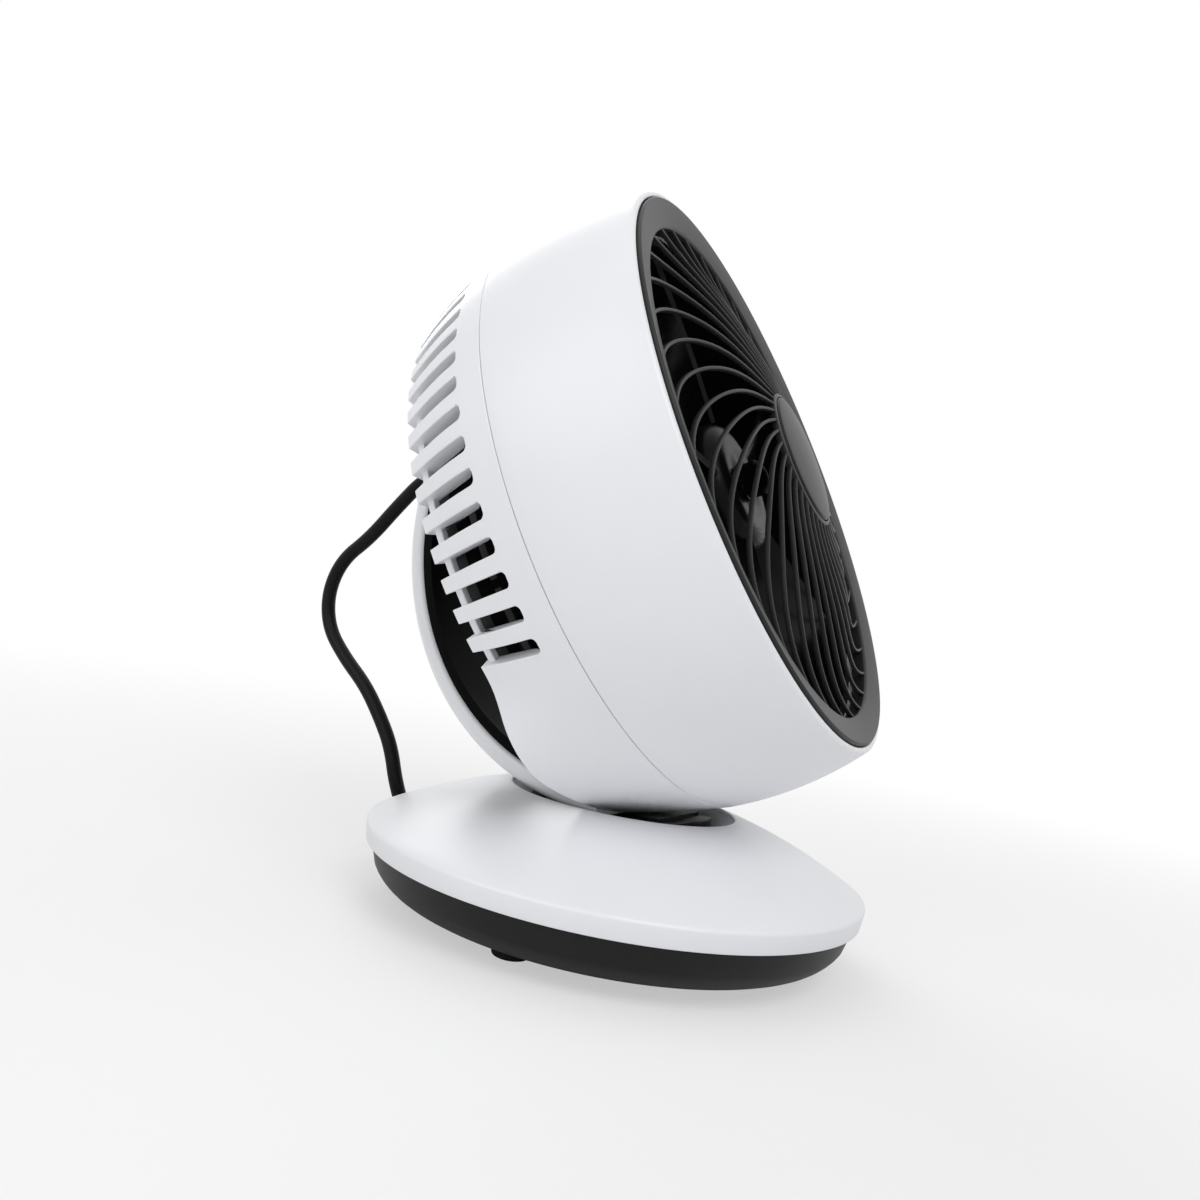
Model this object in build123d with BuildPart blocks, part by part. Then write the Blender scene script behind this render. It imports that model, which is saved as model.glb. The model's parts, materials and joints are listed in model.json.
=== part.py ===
from build123d import *
from math import acos, asin, atan2, ceil, cos, degrees, hypot, pi, radians, sin, sqrt, tan
import os

# Air circulator fan: a round head with a louvred back on a domed base.
# The head tilts on a curved spine that slides over a saddle in the base's recess.
# Millimetres, +Z up, the table at z = 0, the base's axis on x = y = 0, the air blows towards -Y.

os.makedirs("parts", exist_ok=True)

# ---- Driving dimensions -------------------------------------------------------------------

# Base
FOOT_HEIGHT = 5.0
FOOT_R = 6.5
FOOT_CIRCLE_R = 66.0
FOOT_SPIGOT_R = 2.8
TRAY_FLOOR_R = 75.0
TRAY_BELLY_R = 90.5
TRAY_RIM_R = 93.0
TRAY_HEIGHT = 16.5
TRAY_WALL = 2.5
COVER_RIM_R = 95.0
COVER_EDGE_R = 96.0
COVER_BAND = 6.9
COVER_DOME_R = 197.4
COVER_WALL = 2.6
RECESS_R = 44.0
RECESS_DEPTH = 8.0
TRIM_WALL = 1.6
BALLAST_R = 58.0
BALLAST_BORE_R = 32.0
BALLAST_THICK = 8.0
BASE_SCREW_CIRCLE_R = 70.0
SCREW_BOSS_R = 4.0
SCREW_R = 1.5
SCREW_HEAD_R = 3.0
SCREW_HEAD_HEIGHT = 2.0

# Swivel
NECK_R = 35.0
NECK_HEIGHT = 6.5
NECK_EDGE_R = 0.8
HUB_R = 22.0
WASHER_THICK = 0.8
RETAINER_R = 29.0
RETAINER_THICK = 2.5
RETAINER_SCREW_CIRCLE_R = 16.0
SHOE_HALF_WIDTH = 11.0
SHOE_THICK = 2.6
SHOE_HALF_ANGLE = 6.0
SHOE_STEM_R = 5.2
STEM_ANGLE = -80.0
CLAMP_SCREW_R = 2.0
CLAMP_HEAD_R = 3.6
STEM_Y = 16.1462
SADDLE_SINK = 1.3621
LIP_CLEARANCE = 1.4
LIP_CUT_Y = -22.0

# Head: where the rim's centre is from the pivot, the tilt, and the radii of the two shells
HEAD_AHEAD = 48.2108
CHIN_DROP = 96.7666
TILT_UP = 26.57
RIM_R = 110.0
SEAM_R = RIM_R + 6.6
TAIL_R = SEAM_R - 10.6
SEAM_DEPTH = 52.2
TAIL_DEPTH = 90.0
FRONT_CROWN = 2.5
REAR_CROWN = 1.55
SHELL_WALL = 2.8
SEAM_GAP = 0.3
LIP_WALL = 3.1
LEDGE_DEPTH = 7.0
LEDGE_THICK = 2.0

# The chin: the lower part of the rear shell is squarer than the rest
CHIN_ANGLE = 123.4
CHIN_SIDE_TOP_X = TAIL_R - 17.4
CHIN_SIDE_TOP_U = 47.6 - TAIL_R
CHIN_SIDE_LOW_X = TAIL_R - 25
CHIN_SIDE_LOW_U = 20 - TAIL_R
CHIN_BOTTOM_U = -TAIL_R - 3.4
CHIN_BOTTOM_R = 172.8
CHIN_CORNER = 26.0

# Louvres
LOUVRE_COUNT = 45
LOUVRE_PITCH = 5.5
LOUVRE_WIDTH = 5.3
LOUVRE_DEPTH = 63.0
LOUVRE_CORNER_R = 1.8
RIB_DEPTH = 6.5
TIE_DEPTH = 84.4
TIE_WIDTH = 2.4
TIE_SINK = 3.2

# Grille
GRILLE_OPENING_R = RIM_R - 13.2
GRILLE_FIT = 0.3
GRILLE_PROUD = 1.1
GRILLE_DISH = 0.9
GRILLE_RING_DEPTH = 6.4
RIB_COUNT = 35
RIB_WIDTH = 1.5
RIB_SECTION_DEPTH = 3.0
RIB_MID_R = 61.0
RIB_MID_ANGLE = 16.8
RIB_HUB_ANGLE = 40.0
RIB_FIRST_ANGLE = -0.8
GRILLE_DOME_R = 345.0
GRILLE_HUB_R = 28.0
CAP_R = 26.0
CAP_THICK = 1.6
CAP_CROWN_R = 220.0

# Duct, rear guard and motor
DUCT_R = GRILLE_OPENING_R - 0.4
DUCT_WALL = 2.0
DUCT_COLLAR_R = DUCT_R + 3.8
DUCT_SOLID_DEPTH = 58.0
DUCT_BAND_PITCH = 6.0
DUCT_BAND_WIDTH = 2.4
DUCT_BAR_COUNT = 18
DUCT_BAR_WIDTH = 3.0
GUARD_DEPTH = 84.0
GUARD_THICK = 4.0
GUARD_RIM_WIDTH = 6.0
GUARD_RING_COUNT = 4
GUARD_RING_WIDTH = 2.0
GUARD_SPOKE_COUNT = 12
GUARD_SPOKE_WIDTH = 2.6
MOTOR_R = 33.0
MOTOR_WALL = 1.5
MOTOR_SPLIT_DEPTH = 66.0
MOTOR_FRONT_DEPTH = 48.0
MOTOR_DOME = 6.0
STATOR_R = 29.0
STATOR_BORE_R = 15.3
STATOR_LENGTH = 16.0
COIL_COUNT = 4
ROTOR_R = 15.0
SHAFT_R = 3.0
BUSH_R = 6.5
BUSH_LENGTH = 7.0
MOTOR_SCREW_CIRCLE_R = 24.0

# Fan
BLADE_COUNT = 5
BLADE_TIP_R = DUCT_R - 4.4
BLADE_THICK = 2.0
BLADE_ROOT_CHORD = 30.0
BLADE_TIP_CHORD = 62.0
BLADE_ROOT_PITCH = 52.0
BLADE_TIP_PITCH = 28.0
BLADE_MID_DEPTH = 27.0
FAN_HUB_R = 27.0
FAN_HUB_LENGTH = 30.0
FAN_HUB_WALL = 2.5
NUT_R = 7.0
NUT_LENGTH = 9.0
NUT_NOSE = 3.0

# Spine: a curved channel about the tilt pivot
SPINE_R = 104.5
SPINE_HALF_WIDTH = 34.0
SPINE_WALL = 4.1
SPINE_SIDE_WALL = 3.0
SPINE_EDGE_R = 97.0
SPINE_FILLET = 3.0
SPINE_TOP_ANGLE = 36.0
LINER_R = 93.0
LINER_RIM = 3.2
LINER_FLOOR = 2.2
LINER_LOW_ANGLE = -112.6
TONGUE_HALF_WIDTH = 10.5
RAIL_LOW_ANGLE = -113.2
SLOT_HALF_WIDTH = 5.6
FIT = 0.4
GAP = 0.1

# Tilt range, counted from the pose in the photograph
TILT_DOWN = 26.5
TILT_MORE = 53.4

# Speed knob and switch
KNOB_ANGLE = 0.0
KNOB_R = 13.0
KNOB_HEIGHT = 12.0
KNOB_SHAFT_R = 3.0
SWITCH_HALF_WIDTH = 9.0
SWITCH_LENGTH = 16.0
BOX_HALF_WIDTH = 20.0
BOX_DEPTH = 14.0
BOX_WALL = 1.8
BOX_LOW_ANGLE = -8.5
BOX_TOP_ANGLE = 28.0

# Cord
CORD_D = 6.5
CORD_EXIT_Y = 102.5
CORD_EXIT_Z = 174.1
RELIEF_LENGTH = 18.5
RELIEF_BORE_FIT = 0.3
RELIEF_TIP_R = 4.3
RELIEF_ROOT_R = 5.6
RELIEF_FLANGE_R = 7.4
RELIEF_DROP = 10.0
COIL_X = 136.0
COIL_Y = 73.0
COIL_MID_R = 36.0
COIL_TURN_PITCH = 7.2
COIL_LAYER_PITCH = 7.0
COIL_START_ANGLE = 100.0
COIL_END_ANGLE = -45.0
COIL_WHOLE_TURNS = 6
PLUG_WIDTH = 25.0
PLUG_HEIGHT = 20.5
PLUG_LENGTH = 30.0
PLUG_NOSE = 14.0
BLADE_PIN_WIDTH = 6.35
BLADE_PIN_THICK = 1.5
BLADE_PIN_LENGTH = 17.0
BLADE_PIN_SPACING = 12.7

# ---- Places worked out from the driving dimensions ----------------------------------------

TRAY_Z = FOOT_HEIGHT
COVER_Z = TRAY_Z + TRAY_HEIGHT
DOME_Z = COVER_Z + COVER_BAND - sqrt(COVER_DOME_R**2 - COVER_EDGE_R**2)


def dome_height(radius, sink=0.0):
    """Height of the cover's dome at a radius, or of its inner face sunk by a wall."""
    return DOME_Z + sqrt((COVER_DOME_R - sink) ** 2 - radius**2)


RECESS_Z = dome_height(RECESS_R)
FLOOR_Z = RECESS_Z - RECESS_DEPTH
NECK_Z = FLOOR_Z + WASHER_THICK + GAP
RETAINER_Z = FLOOR_Z - COVER_WALL - WASHER_THICK - RETAINER_THICK - 2 * GAP

TILT = radians(TILT_UP)
FORWARD = Vector(0, -cos(TILT), sin(TILT))
HEAD_UP = Vector(0, sin(TILT), cos(TILT))
PIVOT_Y = STEM_Y - SPINE_R * cos(radians(STEM_ANGLE))
PIVOT_Z = NECK_Z + NECK_HEIGHT - SADDLE_SINK - SPINE_R * sin(radians(STEM_ANGLE))
PIVOT = Vector(0, PIVOT_Y, PIVOT_Z)
HEAD_CENTRE = PIVOT + FORWARD * HEAD_AHEAD + HEAD_UP * (RIM_R - CHIN_DROP)
HEAD_AXIS = Axis(HEAD_CENTRE, FORWARD)
PIVOT_AXIS = Axis(PIVOT, (1, 0, 0))


def head_plane(depth):
    """A plane square to the head's axis, a depth behind the rim: x across, y up the face."""
    return Plane(HEAD_CENTRE - FORWARD * depth, x_dir=(1, 0, 0), z_dir=FORWARD)


def head_side(angle):
    """A plane through the head's axis at an angle from its top: x is the radius, y forward."""
    out = Vector(sin(radians(angle)), 0, 0) + HEAD_UP * cos(radians(angle))
    return Plane(HEAD_CENTRE, x_dir=out, z_dir=out.cross(FORWARD))


HEAD_SIDE = head_side(90)


def head_ray(angle):
    """A plane seen along the head's radius at an angle from its top: x back, y round."""
    out = Vector(sin(radians(angle)), 0, 0) + HEAD_UP * cos(radians(angle))
    return Plane(HEAD_CENTRE, x_dir=FORWARD * -1, z_dir=out)


def spine_plane(angle):
    """A plane through the pivot's axis at an angle from +Y: x across, y is the radius."""
    return Plane(PIVOT, x_dir=(1, 0, 0), z_dir=(0, -sin(radians(angle)), cos(radians(angle))))


def spine_ray(angle, radius):
    """A plane square to the spine's radius: x across, y along the arc, z outwards."""
    out = Vector(0, cos(radians(angle)), sin(radians(angle)))
    return Plane(PIVOT + out * radius, x_dir=(1, 0, 0), z_dir=out)


def arc_radius(rise, run, crown):
    """Radius of the arc over a chord with the given rise, run and crown."""
    return hypot(rise, run) ** 2 / (8 * crown) + crown / 2


def arc_profile(depth, start, end, crown):
    """Radius of the head at a depth, on the arc that joins two (radius, depth) points."""
    rise, run = end[0] - start[0], end[1] - start[1]
    radius = arc_radius(rise, run, crown)
    back = (radius - crown) / hypot(rise, run)
    centre_r = (start[0] + end[0]) / 2 - run * back
    centre_depth = (start[1] + end[1]) / 2 + rise * back
    return centre_r + sqrt(radius**2 - (depth - centre_depth) ** 2)


def front_radius(depth):
    return arc_profile(depth, (RIM_R, 0), (SEAM_R, SEAM_DEPTH), FRONT_CROWN)


def rear_radius(depth):
    return arc_profile(depth, (SEAM_R, SEAM_DEPTH), (TAIL_R, TAIL_DEPTH), REAR_CROWN)


def ring(plane, inner, outer, low, high):
    """A closed four-sided profile between two radii and two heights, on a revolve plane."""
    with BuildSketch(plane) as sketch:
        with BuildLine():
            Polyline((inner, low), (outer, low), (outer, high), (inner, high), close=True)
        make_face()
    return sketch.sketch


def save(part, name):
    part.label = name
    export_step(part, "parts/" + name + ".step")


# ---- Base ---------------------------------------------------------------------------------

inner_rim_r = COVER_RIM_R - COVER_WALL
collar_r = RECESS_R + COVER_WALL
inner_edge_z = dome_height(inner_rim_r + 0.6, COVER_WALL)

with BuildPart() as base_cover:
    with BuildSketch(Plane.XZ):
        with BuildLine():
            Line((COVER_RIM_R, COVER_Z), (COVER_EDGE_R, COVER_Z + COVER_BAND))
            ThreePointArc(
                (COVER_EDGE_R, COVER_Z + COVER_BAND),
                ((COVER_EDGE_R + RECESS_R) / 2, dome_height((COVER_EDGE_R + RECESS_R) / 2)),
                (RECESS_R, RECESS_Z),
            )
            Polyline(
                (RECESS_R, RECESS_Z),
                (RECESS_R, FLOOR_Z),
                (HUB_R + FIT, FLOOR_Z),
                (HUB_R + FIT, FLOOR_Z - COVER_WALL),
                (collar_r, FLOOR_Z - COVER_WALL),
                (collar_r, dome_height(collar_r, COVER_WALL)),
            )
            ThreePointArc(
                (collar_r, dome_height(collar_r, COVER_WALL)),
                ((collar_r + inner_rim_r) / 2, dome_height((collar_r + inner_rim_r) / 2, COVER_WALL)),
                (inner_rim_r + 0.6, inner_edge_z),
            )
            Polyline((inner_rim_r + 0.6, inner_edge_z), (inner_rim_r, COVER_Z), (COVER_RIM_R, COVER_Z))
        make_face()
    revolve(axis=Axis.Z)
    boss_top_z = dome_height(BASE_SCREW_CIRCLE_R + SCREW_BOSS_R, COVER_WALL / 2)
    boss_low_z = TRAY_Z + TRAY_WALL + GAP
    with BuildSketch(Plane.XY.offset(boss_low_z)):
        with PolarLocations(BASE_SCREW_CIRCLE_R, 4, start_angle=45):
            Circle(SCREW_BOSS_R)
            Circle(SCREW_R, mode=Mode.SUBTRACT)
    extrude(amount=boss_top_z - boss_low_z)
    lip_edge = base_cover.edges().filter_by(GeomType.CIRCLE).filter_by(
        lambda e: abs(e.radius - RECESS_R) < 0.01 and abs(e.center().Z - RECESS_Z) < 0.1
    )
    crease_edge = base_cover.edges().filter_by(GeomType.CIRCLE).filter_by(
        lambda e: abs(e.radius - COVER_EDGE_R) < 0.01
    )
    fillet(crease_edge, radius=COVER_WALL * 0.3)
    fillet(lip_edge, radius=COVER_WALL * 0.25)
save(base_cover.part, "base_cover")

step_r = inner_rim_r - GAP * 3
step_in_r = step_r - TRAY_WALL
with BuildPart() as base_tray:
    with BuildSketch(Plane.XZ):
        with BuildLine():
            Line((0, TRAY_Z), (TRAY_FLOOR_R, TRAY_Z))
            ThreePointArc(
                (TRAY_FLOOR_R, TRAY_Z),
                ((TRAY_FLOOR_R + TRAY_BELLY_R) / 2 + 3.4, TRAY_Z + TRAY_HEIGHT * 0.2),
                (TRAY_BELLY_R, TRAY_Z + TRAY_HEIGHT / 2),
            )
            Polyline(
                (TRAY_BELLY_R, TRAY_Z + TRAY_HEIGHT / 2),
                (TRAY_RIM_R, COVER_Z - GAP),
                (step_r, COVER_Z - GAP),
                (step_r, COVER_Z + TRAY_WALL),
                (step_in_r, COVER_Z + TRAY_WALL),
                (TRAY_BELLY_R - TRAY_WALL, TRAY_Z + TRAY_HEIGHT / 2 + 1),
            )
            ThreePointArc(
                (TRAY_BELLY_R - TRAY_WALL, TRAY_Z + TRAY_HEIGHT / 2 + 1),
                ((TRAY_FLOOR_R + TRAY_BELLY_R) / 2 + 1.2, TRAY_Z + TRAY_HEIGHT * 0.2 + 2),
                (TRAY_FLOOR_R - 1, TRAY_Z + TRAY_WALL),
            )
            Polyline((TRAY_FLOOR_R - 1, TRAY_Z + TRAY_WALL), (0, TRAY_Z + TRAY_WALL), (0, TRAY_Z))
        make_face()
    revolve(axis=Axis.Z)
    with BuildSketch(Plane.XY.offset(TRAY_Z)):
        with PolarLocations(FOOT_CIRCLE_R, 4):
            Circle(FOOT_SPIGOT_R + GAP)
        with PolarLocations(BASE_SCREW_CIRCLE_R, 4, start_angle=45):
            Circle(SCREW_R + FIT)
    extrude(amount=TRAY_WALL, mode=Mode.SUBTRACT)
save(base_tray.part, "base_tray")

with BuildPart() as ballast:
    with BuildSketch(Plane.XY.offset(TRAY_Z + TRAY_WALL)):
        Circle(BALLAST_R)
        Circle(BALLAST_BORE_R, mode=Mode.SUBTRACT)
    extrude(amount=BALLAST_THICK)
    chamfer(ballast.edges().group_by(Axis.Z)[-1], length=1.0)
save(ballast.part, "ballast_ring")

with BuildPart() as base_feet:
    with BuildSketch():
        with PolarLocations(FOOT_CIRCLE_R, 4):
            Circle(FOOT_R)
    extrude(amount=FOOT_HEIGHT)
    fillet(base_feet.edges().group_by(Axis.Z)[0], radius=1.0)
    with BuildSketch(Plane.XY.offset(FOOT_HEIGHT)):
        with PolarLocations(FOOT_CIRCLE_R, 4):
            Circle(FOOT_SPIGOT_R)
    extrude(amount=TRAY_WALL + 1)
save(base_feet.part, "base_feet")

with BuildPart() as base_screws:
    with BuildSketch(Plane.XY.offset(TRAY_Z - SCREW_HEAD_HEIGHT)):
        with PolarLocations(BASE_SCREW_CIRCLE_R, 4, start_angle=45):
            Circle(SCREW_HEAD_R)
    extrude(amount=SCREW_HEAD_HEIGHT)
    fillet(base_screws.edges().group_by(Axis.Z)[0], radius=0.8)
    with BuildSketch(Plane.XY.offset(TRAY_Z)):
        with PolarLocations(BASE_SCREW_CIRCLE_R, 4, start_angle=45):
            Circle(SCREW_R - 0.02)
    extrude(amount=14)
    with BuildSketch(Plane.XY.offset(TRAY_Z - SCREW_HEAD_HEIGHT)):
        with PolarLocations(BASE_SCREW_CIRCLE_R, 4, start_angle=45):
            Rectangle(3.4, 0.8)
            Rectangle(0.8, 3.4)
    extrude(amount=1.0, mode=Mode.SUBTRACT)
save(base_screws.part, "base_screws")

trim_r = RECESS_R - GAP
trim_in_r = NECK_R + TRIM_WALL
with BuildPart() as recess_trim:
    with BuildSketch(Plane.XZ):
        with BuildLine():
            Polyline(
                (trim_r, RECESS_Z - 0.9),
                (trim_in_r, FLOOR_Z + 2.6),
                (trim_in_r, FLOOR_Z),
                (trim_in_r + TRIM_WALL, FLOOR_Z),
                (trim_in_r + TRIM_WALL, FLOOR_Z + 2.0),
                (trim_r, RECESS_Z - 0.9 - TRIM_WALL),
                close=True,
            )
        make_face()
    revolve(axis=Axis.Z)
save(recess_trim.part, "recess_trim")

with BuildPart() as thrust_washers:
    with BuildSketch(Plane.XY.offset(FLOOR_Z)):
        Circle(NECK_R - 1)
        Circle(HUB_R + FIT, mode=Mode.SUBTRACT)
    extrude(amount=WASHER_THICK)
    with BuildSketch(Plane.XY.offset(FLOOR_Z - COVER_WALL - WASHER_THICK)):
        Circle(RETAINER_R)
        Circle(HUB_R + FIT, mode=Mode.SUBTRACT)
    extrude(amount=WASHER_THICK)
save(thrust_washers.part, "thrust_washers")

# ---- Swivel -------------------------------------------------------------------------------

saddle_r = SPINE_R + FIT + 0.5
stem_plane = spine_ray(STEM_ANGLE, saddle_r)
socket_depth = 2.2
hub_low_z = RETAINER_Z + RETAINER_THICK

with BuildPart() as neck:
    with BuildSketch(Plane.XY.offset(NECK_Z)):
        Circle(NECK_R)
    extrude(amount=NECK_HEIGHT)
    fillet(neck.edges().group_by(Axis.Z)[-1], radius=NECK_EDGE_R)
    with BuildSketch(Plane.XY.offset(hub_low_z)):
        Circle(HUB_R)
    extrude(amount=NECK_Z - hub_low_z)
    with BuildSketch(Plane.YZ.offset(-NECK_R - 1)):
        with Locations((PIVOT_Y, PIVOT_Z)):
            Circle(saddle_r)
    extrude(amount=2 * NECK_R + 2, mode=Mode.SUBTRACT)
    # the front of the saddle drops, so that the head's lip passes over it when it looks level
    with BuildSketch(Plane.YZ.offset(-NECK_R - 1)):
        with Locations((PIVOT_Y, PIVOT_Z)):
            Circle(saddle_r + LIP_CLEARANCE)
        with Locations((LIP_CUT_Y, PIVOT_Z - saddle_r)):
            Rectangle(NECK_R, NECK_R, align=(Align.MAX, Align.CENTER), mode=Mode.INTERSECT)
    extrude(amount=2 * NECK_R + 2, mode=Mode.SUBTRACT)
    with BuildSketch(stem_plane.offset(-1)):
        Circle(SHOE_STEM_R + GAP)
    extrude(amount=socket_depth + 1, mode=Mode.SUBTRACT)
    with BuildSketch(stem_plane):
        Circle(CLAMP_SCREW_R + FIT)
    extrude(amount=8, mode=Mode.SUBTRACT)
    with BuildSketch(stem_plane.offset(7)):
        Circle(CLAMP_HEAD_R + FIT)
    extrude(amount=25, mode=Mode.SUBTRACT)
    with BuildSketch(Plane.XY.offset(hub_low_z)):
        with PolarLocations(RETAINER_SCREW_CIRCLE_R, 3, start_angle=-150, angular_range=240):
            Circle(SCREW_R)
    extrude(amount=6, mode=Mode.SUBTRACT)
save(neck.part, "neck")

with BuildPart() as retainer:
    with BuildSketch(Plane.XY.offset(RETAINER_Z)):
        Circle(RETAINER_R)
        with PolarLocations(RETAINER_SCREW_CIRCLE_R, 3, start_angle=-150, angular_range=240):
            Circle(SCREW_R + FIT, mode=Mode.SUBTRACT)
        with Locations((0, RETAINER_SCREW_CIRCLE_R)):
            Circle(CLAMP_HEAD_R + 2.5, mode=Mode.SUBTRACT)
    extrude(amount=RETAINER_THICK)
save(retainer.part, "retainer_plate")

with BuildPart() as retainer_screws:
    with BuildSketch(Plane.XY.offset(RETAINER_Z - SCREW_HEAD_HEIGHT)):
        with PolarLocations(RETAINER_SCREW_CIRCLE_R, 3, start_angle=-150, angular_range=240):
            Circle(SCREW_HEAD_R)
    extrude(amount=SCREW_HEAD_HEIGHT)
    with BuildSketch(Plane.XY.offset(RETAINER_Z)):
        with PolarLocations(RETAINER_SCREW_CIRCLE_R, 3, start_angle=-150, angular_range=240):
            Circle(SCREW_R - 0.02)
    extrude(amount=RETAINER_THICK + 5)
save(retainer_screws.part, "retainer_screws")

rail_r = SPINE_R - SPINE_WALL
shoe_low_r = rail_r - FIT - SHOE_THICK
with BuildPart() as clamp_shoe:
    with BuildSketch(spine_plane(STEM_ANGLE - SHOE_HALF_ANGLE)):
        with Locations((0, shoe_low_r + SHOE_THICK / 2)):
            Rectangle(2 * SHOE_HALF_WIDTH, SHOE_THICK)
    revolve(axis=PIVOT_AXIS, revolution_arc=2 * SHOE_HALF_ANGLE)
    with BuildSketch(spine_ray(STEM_ANGLE, shoe_low_r + SHOE_THICK / 2)):
        Circle(SHOE_STEM_R)
    extrude(amount=saddle_r + socket_depth - GAP - shoe_low_r - SHOE_THICK / 2)
    with BuildSketch(spine_ray(STEM_ANGLE, shoe_low_r + SHOE_THICK)):
        Circle(CLAMP_SCREW_R + 0.02)
    extrude(amount=12, mode=Mode.SUBTRACT)
save(clamp_shoe.part, "clamp_shoe")

with BuildPart() as clamp_screw:
    with BuildSketch(spine_ray(STEM_ANGLE, shoe_low_r + SHOE_THICK + 0.5)):
        Circle(CLAMP_SCREW_R)
    extrude(amount=saddle_r + 7 - shoe_low_r - SHOE_THICK - 0.5)
    with BuildSketch(stem_plane.offset(7)):
        Circle(CLAMP_HEAD_R)
    extrude(amount=3)
    with BuildSketch(stem_plane.offset(10)):
        RegularPolygon(1.8, 6)
    extrude(amount=-2, mode=Mode.SUBTRACT)
save(clamp_screw.part, "clamp_screw")

# ---- Head shells --------------------------------------------------------------------------

mid_depth = SEAM_DEPTH / 2
inner_lip_r = RIM_R - LIP_WALL
ledge_back = LEDGE_DEPTH + LEDGE_THICK
boss_circle_r = DUCT_COLLAR_R + SCREW_BOSS_R + 0.3

with BuildPart() as front_shell:
    with BuildSketch(HEAD_SIDE):
        with BuildLine():
            ThreePointArc((RIM_R, 0), (front_radius(mid_depth), -mid_depth), (SEAM_R, -SEAM_DEPTH))
            Line((SEAM_R, -SEAM_DEPTH), (SEAM_R - SHELL_WALL, -SEAM_DEPTH))
            ThreePointArc(
                (SEAM_R - SHELL_WALL, -SEAM_DEPTH),
                (front_radius(mid_depth) - SHELL_WALL, -mid_depth),
                (front_radius(ledge_back) - SHELL_WALL, -ledge_back),
            )
            Polyline(
                (front_radius(ledge_back) - SHELL_WALL, -ledge_back),
                (GRILLE_OPENING_R + 1.4, -ledge_back),
                (GRILLE_OPENING_R + 1.4, -LEDGE_DEPTH),
                (inner_lip_r, -LEDGE_DEPTH),
                (inner_lip_r, 0),
                (RIM_R, 0),
            )
        make_face()
    revolve(axis=HEAD_AXIS)
    lip = front_shell.edges().filter_by(GeomType.CIRCLE).filter_by(
        lambda e: abs(e.radius - RIM_R) < 0.01
    )
    fillet(lip, radius=LIP_WALL * 0.4)
    with BuildSketch(head_plane(ledge_back)):
        with PolarLocations(boss_circle_r, 4, start_angle=45):
            Circle(SCREW_BOSS_R)
            Circle(SCREW_R, mode=Mode.SUBTRACT)
    extrude(amount=-(SEAM_DEPTH - ledge_back))
save(front_shell.part, "front_shell")


def chin_radius(turn, wall=0.0):
    """Polar radius of the squarer outline at the tail, at a turn from straight down."""
    s, c = sin(radians(turn)), cos(radians(turn))
    run_x = CHIN_SIDE_TOP_X - CHIN_SIDE_LOW_X
    run_u = CHIN_SIDE_TOP_U - CHIN_SIDE_LOW_U
    length = hypot(run_x, run_u)
    normal_x, normal_u = run_u / length, -run_x / length
    offset = CHIN_SIDE_TOP_X * normal_x + CHIN_SIDE_TOP_U * normal_u - wall
    side = offset / max(abs(s) * normal_x - c * normal_u, 0.05)
    centre_u = CHIN_BOTTOM_U + CHIN_BOTTOM_R
    bottom = -c * centre_u + sqrt((CHIN_BOTTOM_R - wall) ** 2 - (centre_u * s) ** 2)
    return (side**-CHIN_CORNER + bottom**-CHIN_CORNER) ** (-1 / CHIN_CORNER)


def tail_outline(depth, wall):
    """The rear shell's outline at a depth: a circle above, easing into the chin below."""
    ease = max(0.0, (depth - SEAM_DEPTH) / (TAIL_DEPTH - SEAM_DEPTH)) ** 2
    round_r = rear_radius(depth) - wall
    half = 180 - CHIN_ANGLE
    count = 12
    low = []
    for i in range(-count, count + 1):
        turn = half * i / count
        fade = min(1.0, (half - abs(turn)) / (half * 0.16))
        fade = fade * fade * (3 - 2 * fade)
        bulge = max(0.0, chin_radius(turn, wall) - (TAIL_R - wall)) * fade
        r = round_r + ease * bulge
        low.append((r * sin(radians(turn)), -r * cos(radians(turn))))
    with BuildSketch(head_plane(depth)) as sketch:
        with BuildLine():
            top = ThreePointArc(low[-1], (0, round_r), low[0])
            Spline(*low, tangents=(top % 1, top % 0))
        make_face()
    return sketch.sketch


rear_start = SEAM_DEPTH + SEAM_GAP
rib_zone = LOUVRE_DEPTH - 1.5
steps = [0.0, 0.25, 0.5, 0.75, 1.0]
outer_depths = [rear_start + (TAIL_DEPTH - rear_start) * t for t in steps]
inner_depths = [rear_start - 1 + (TAIL_DEPTH + 2 - rear_start) * t for t in steps]

with BuildPart() as rear_outer:
    loft([tail_outline(d, 0.0) for d in outer_depths])

with BuildPart() as rear_inner:
    loft([tail_outline(d, SHELL_WALL) for d in inner_depths])

rail_arc = -88 - RAIL_LOW_ANGLE
slot_turn = degrees(asin(SLOT_HALF_WIDTH / SPINE_R))
slot_low = STEM_ANGLE - TILT_DOWN - slot_turn
slot_top = STEM_ANGLE + TILT_MORE + slot_turn

with BuildPart() as rail_pad:
    with BuildSketch(spine_plane(RAIL_LOW_ANGLE)):
        with Locations((0, rail_r + 5)):
            Rectangle(2 * SHOE_HALF_WIDTH + 12, 10)
    revolve(axis=PIVOT_AXIS, revolution_arc=rail_arc)
    add(rear_outer.part, mode=Mode.INTERSECT)

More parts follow.
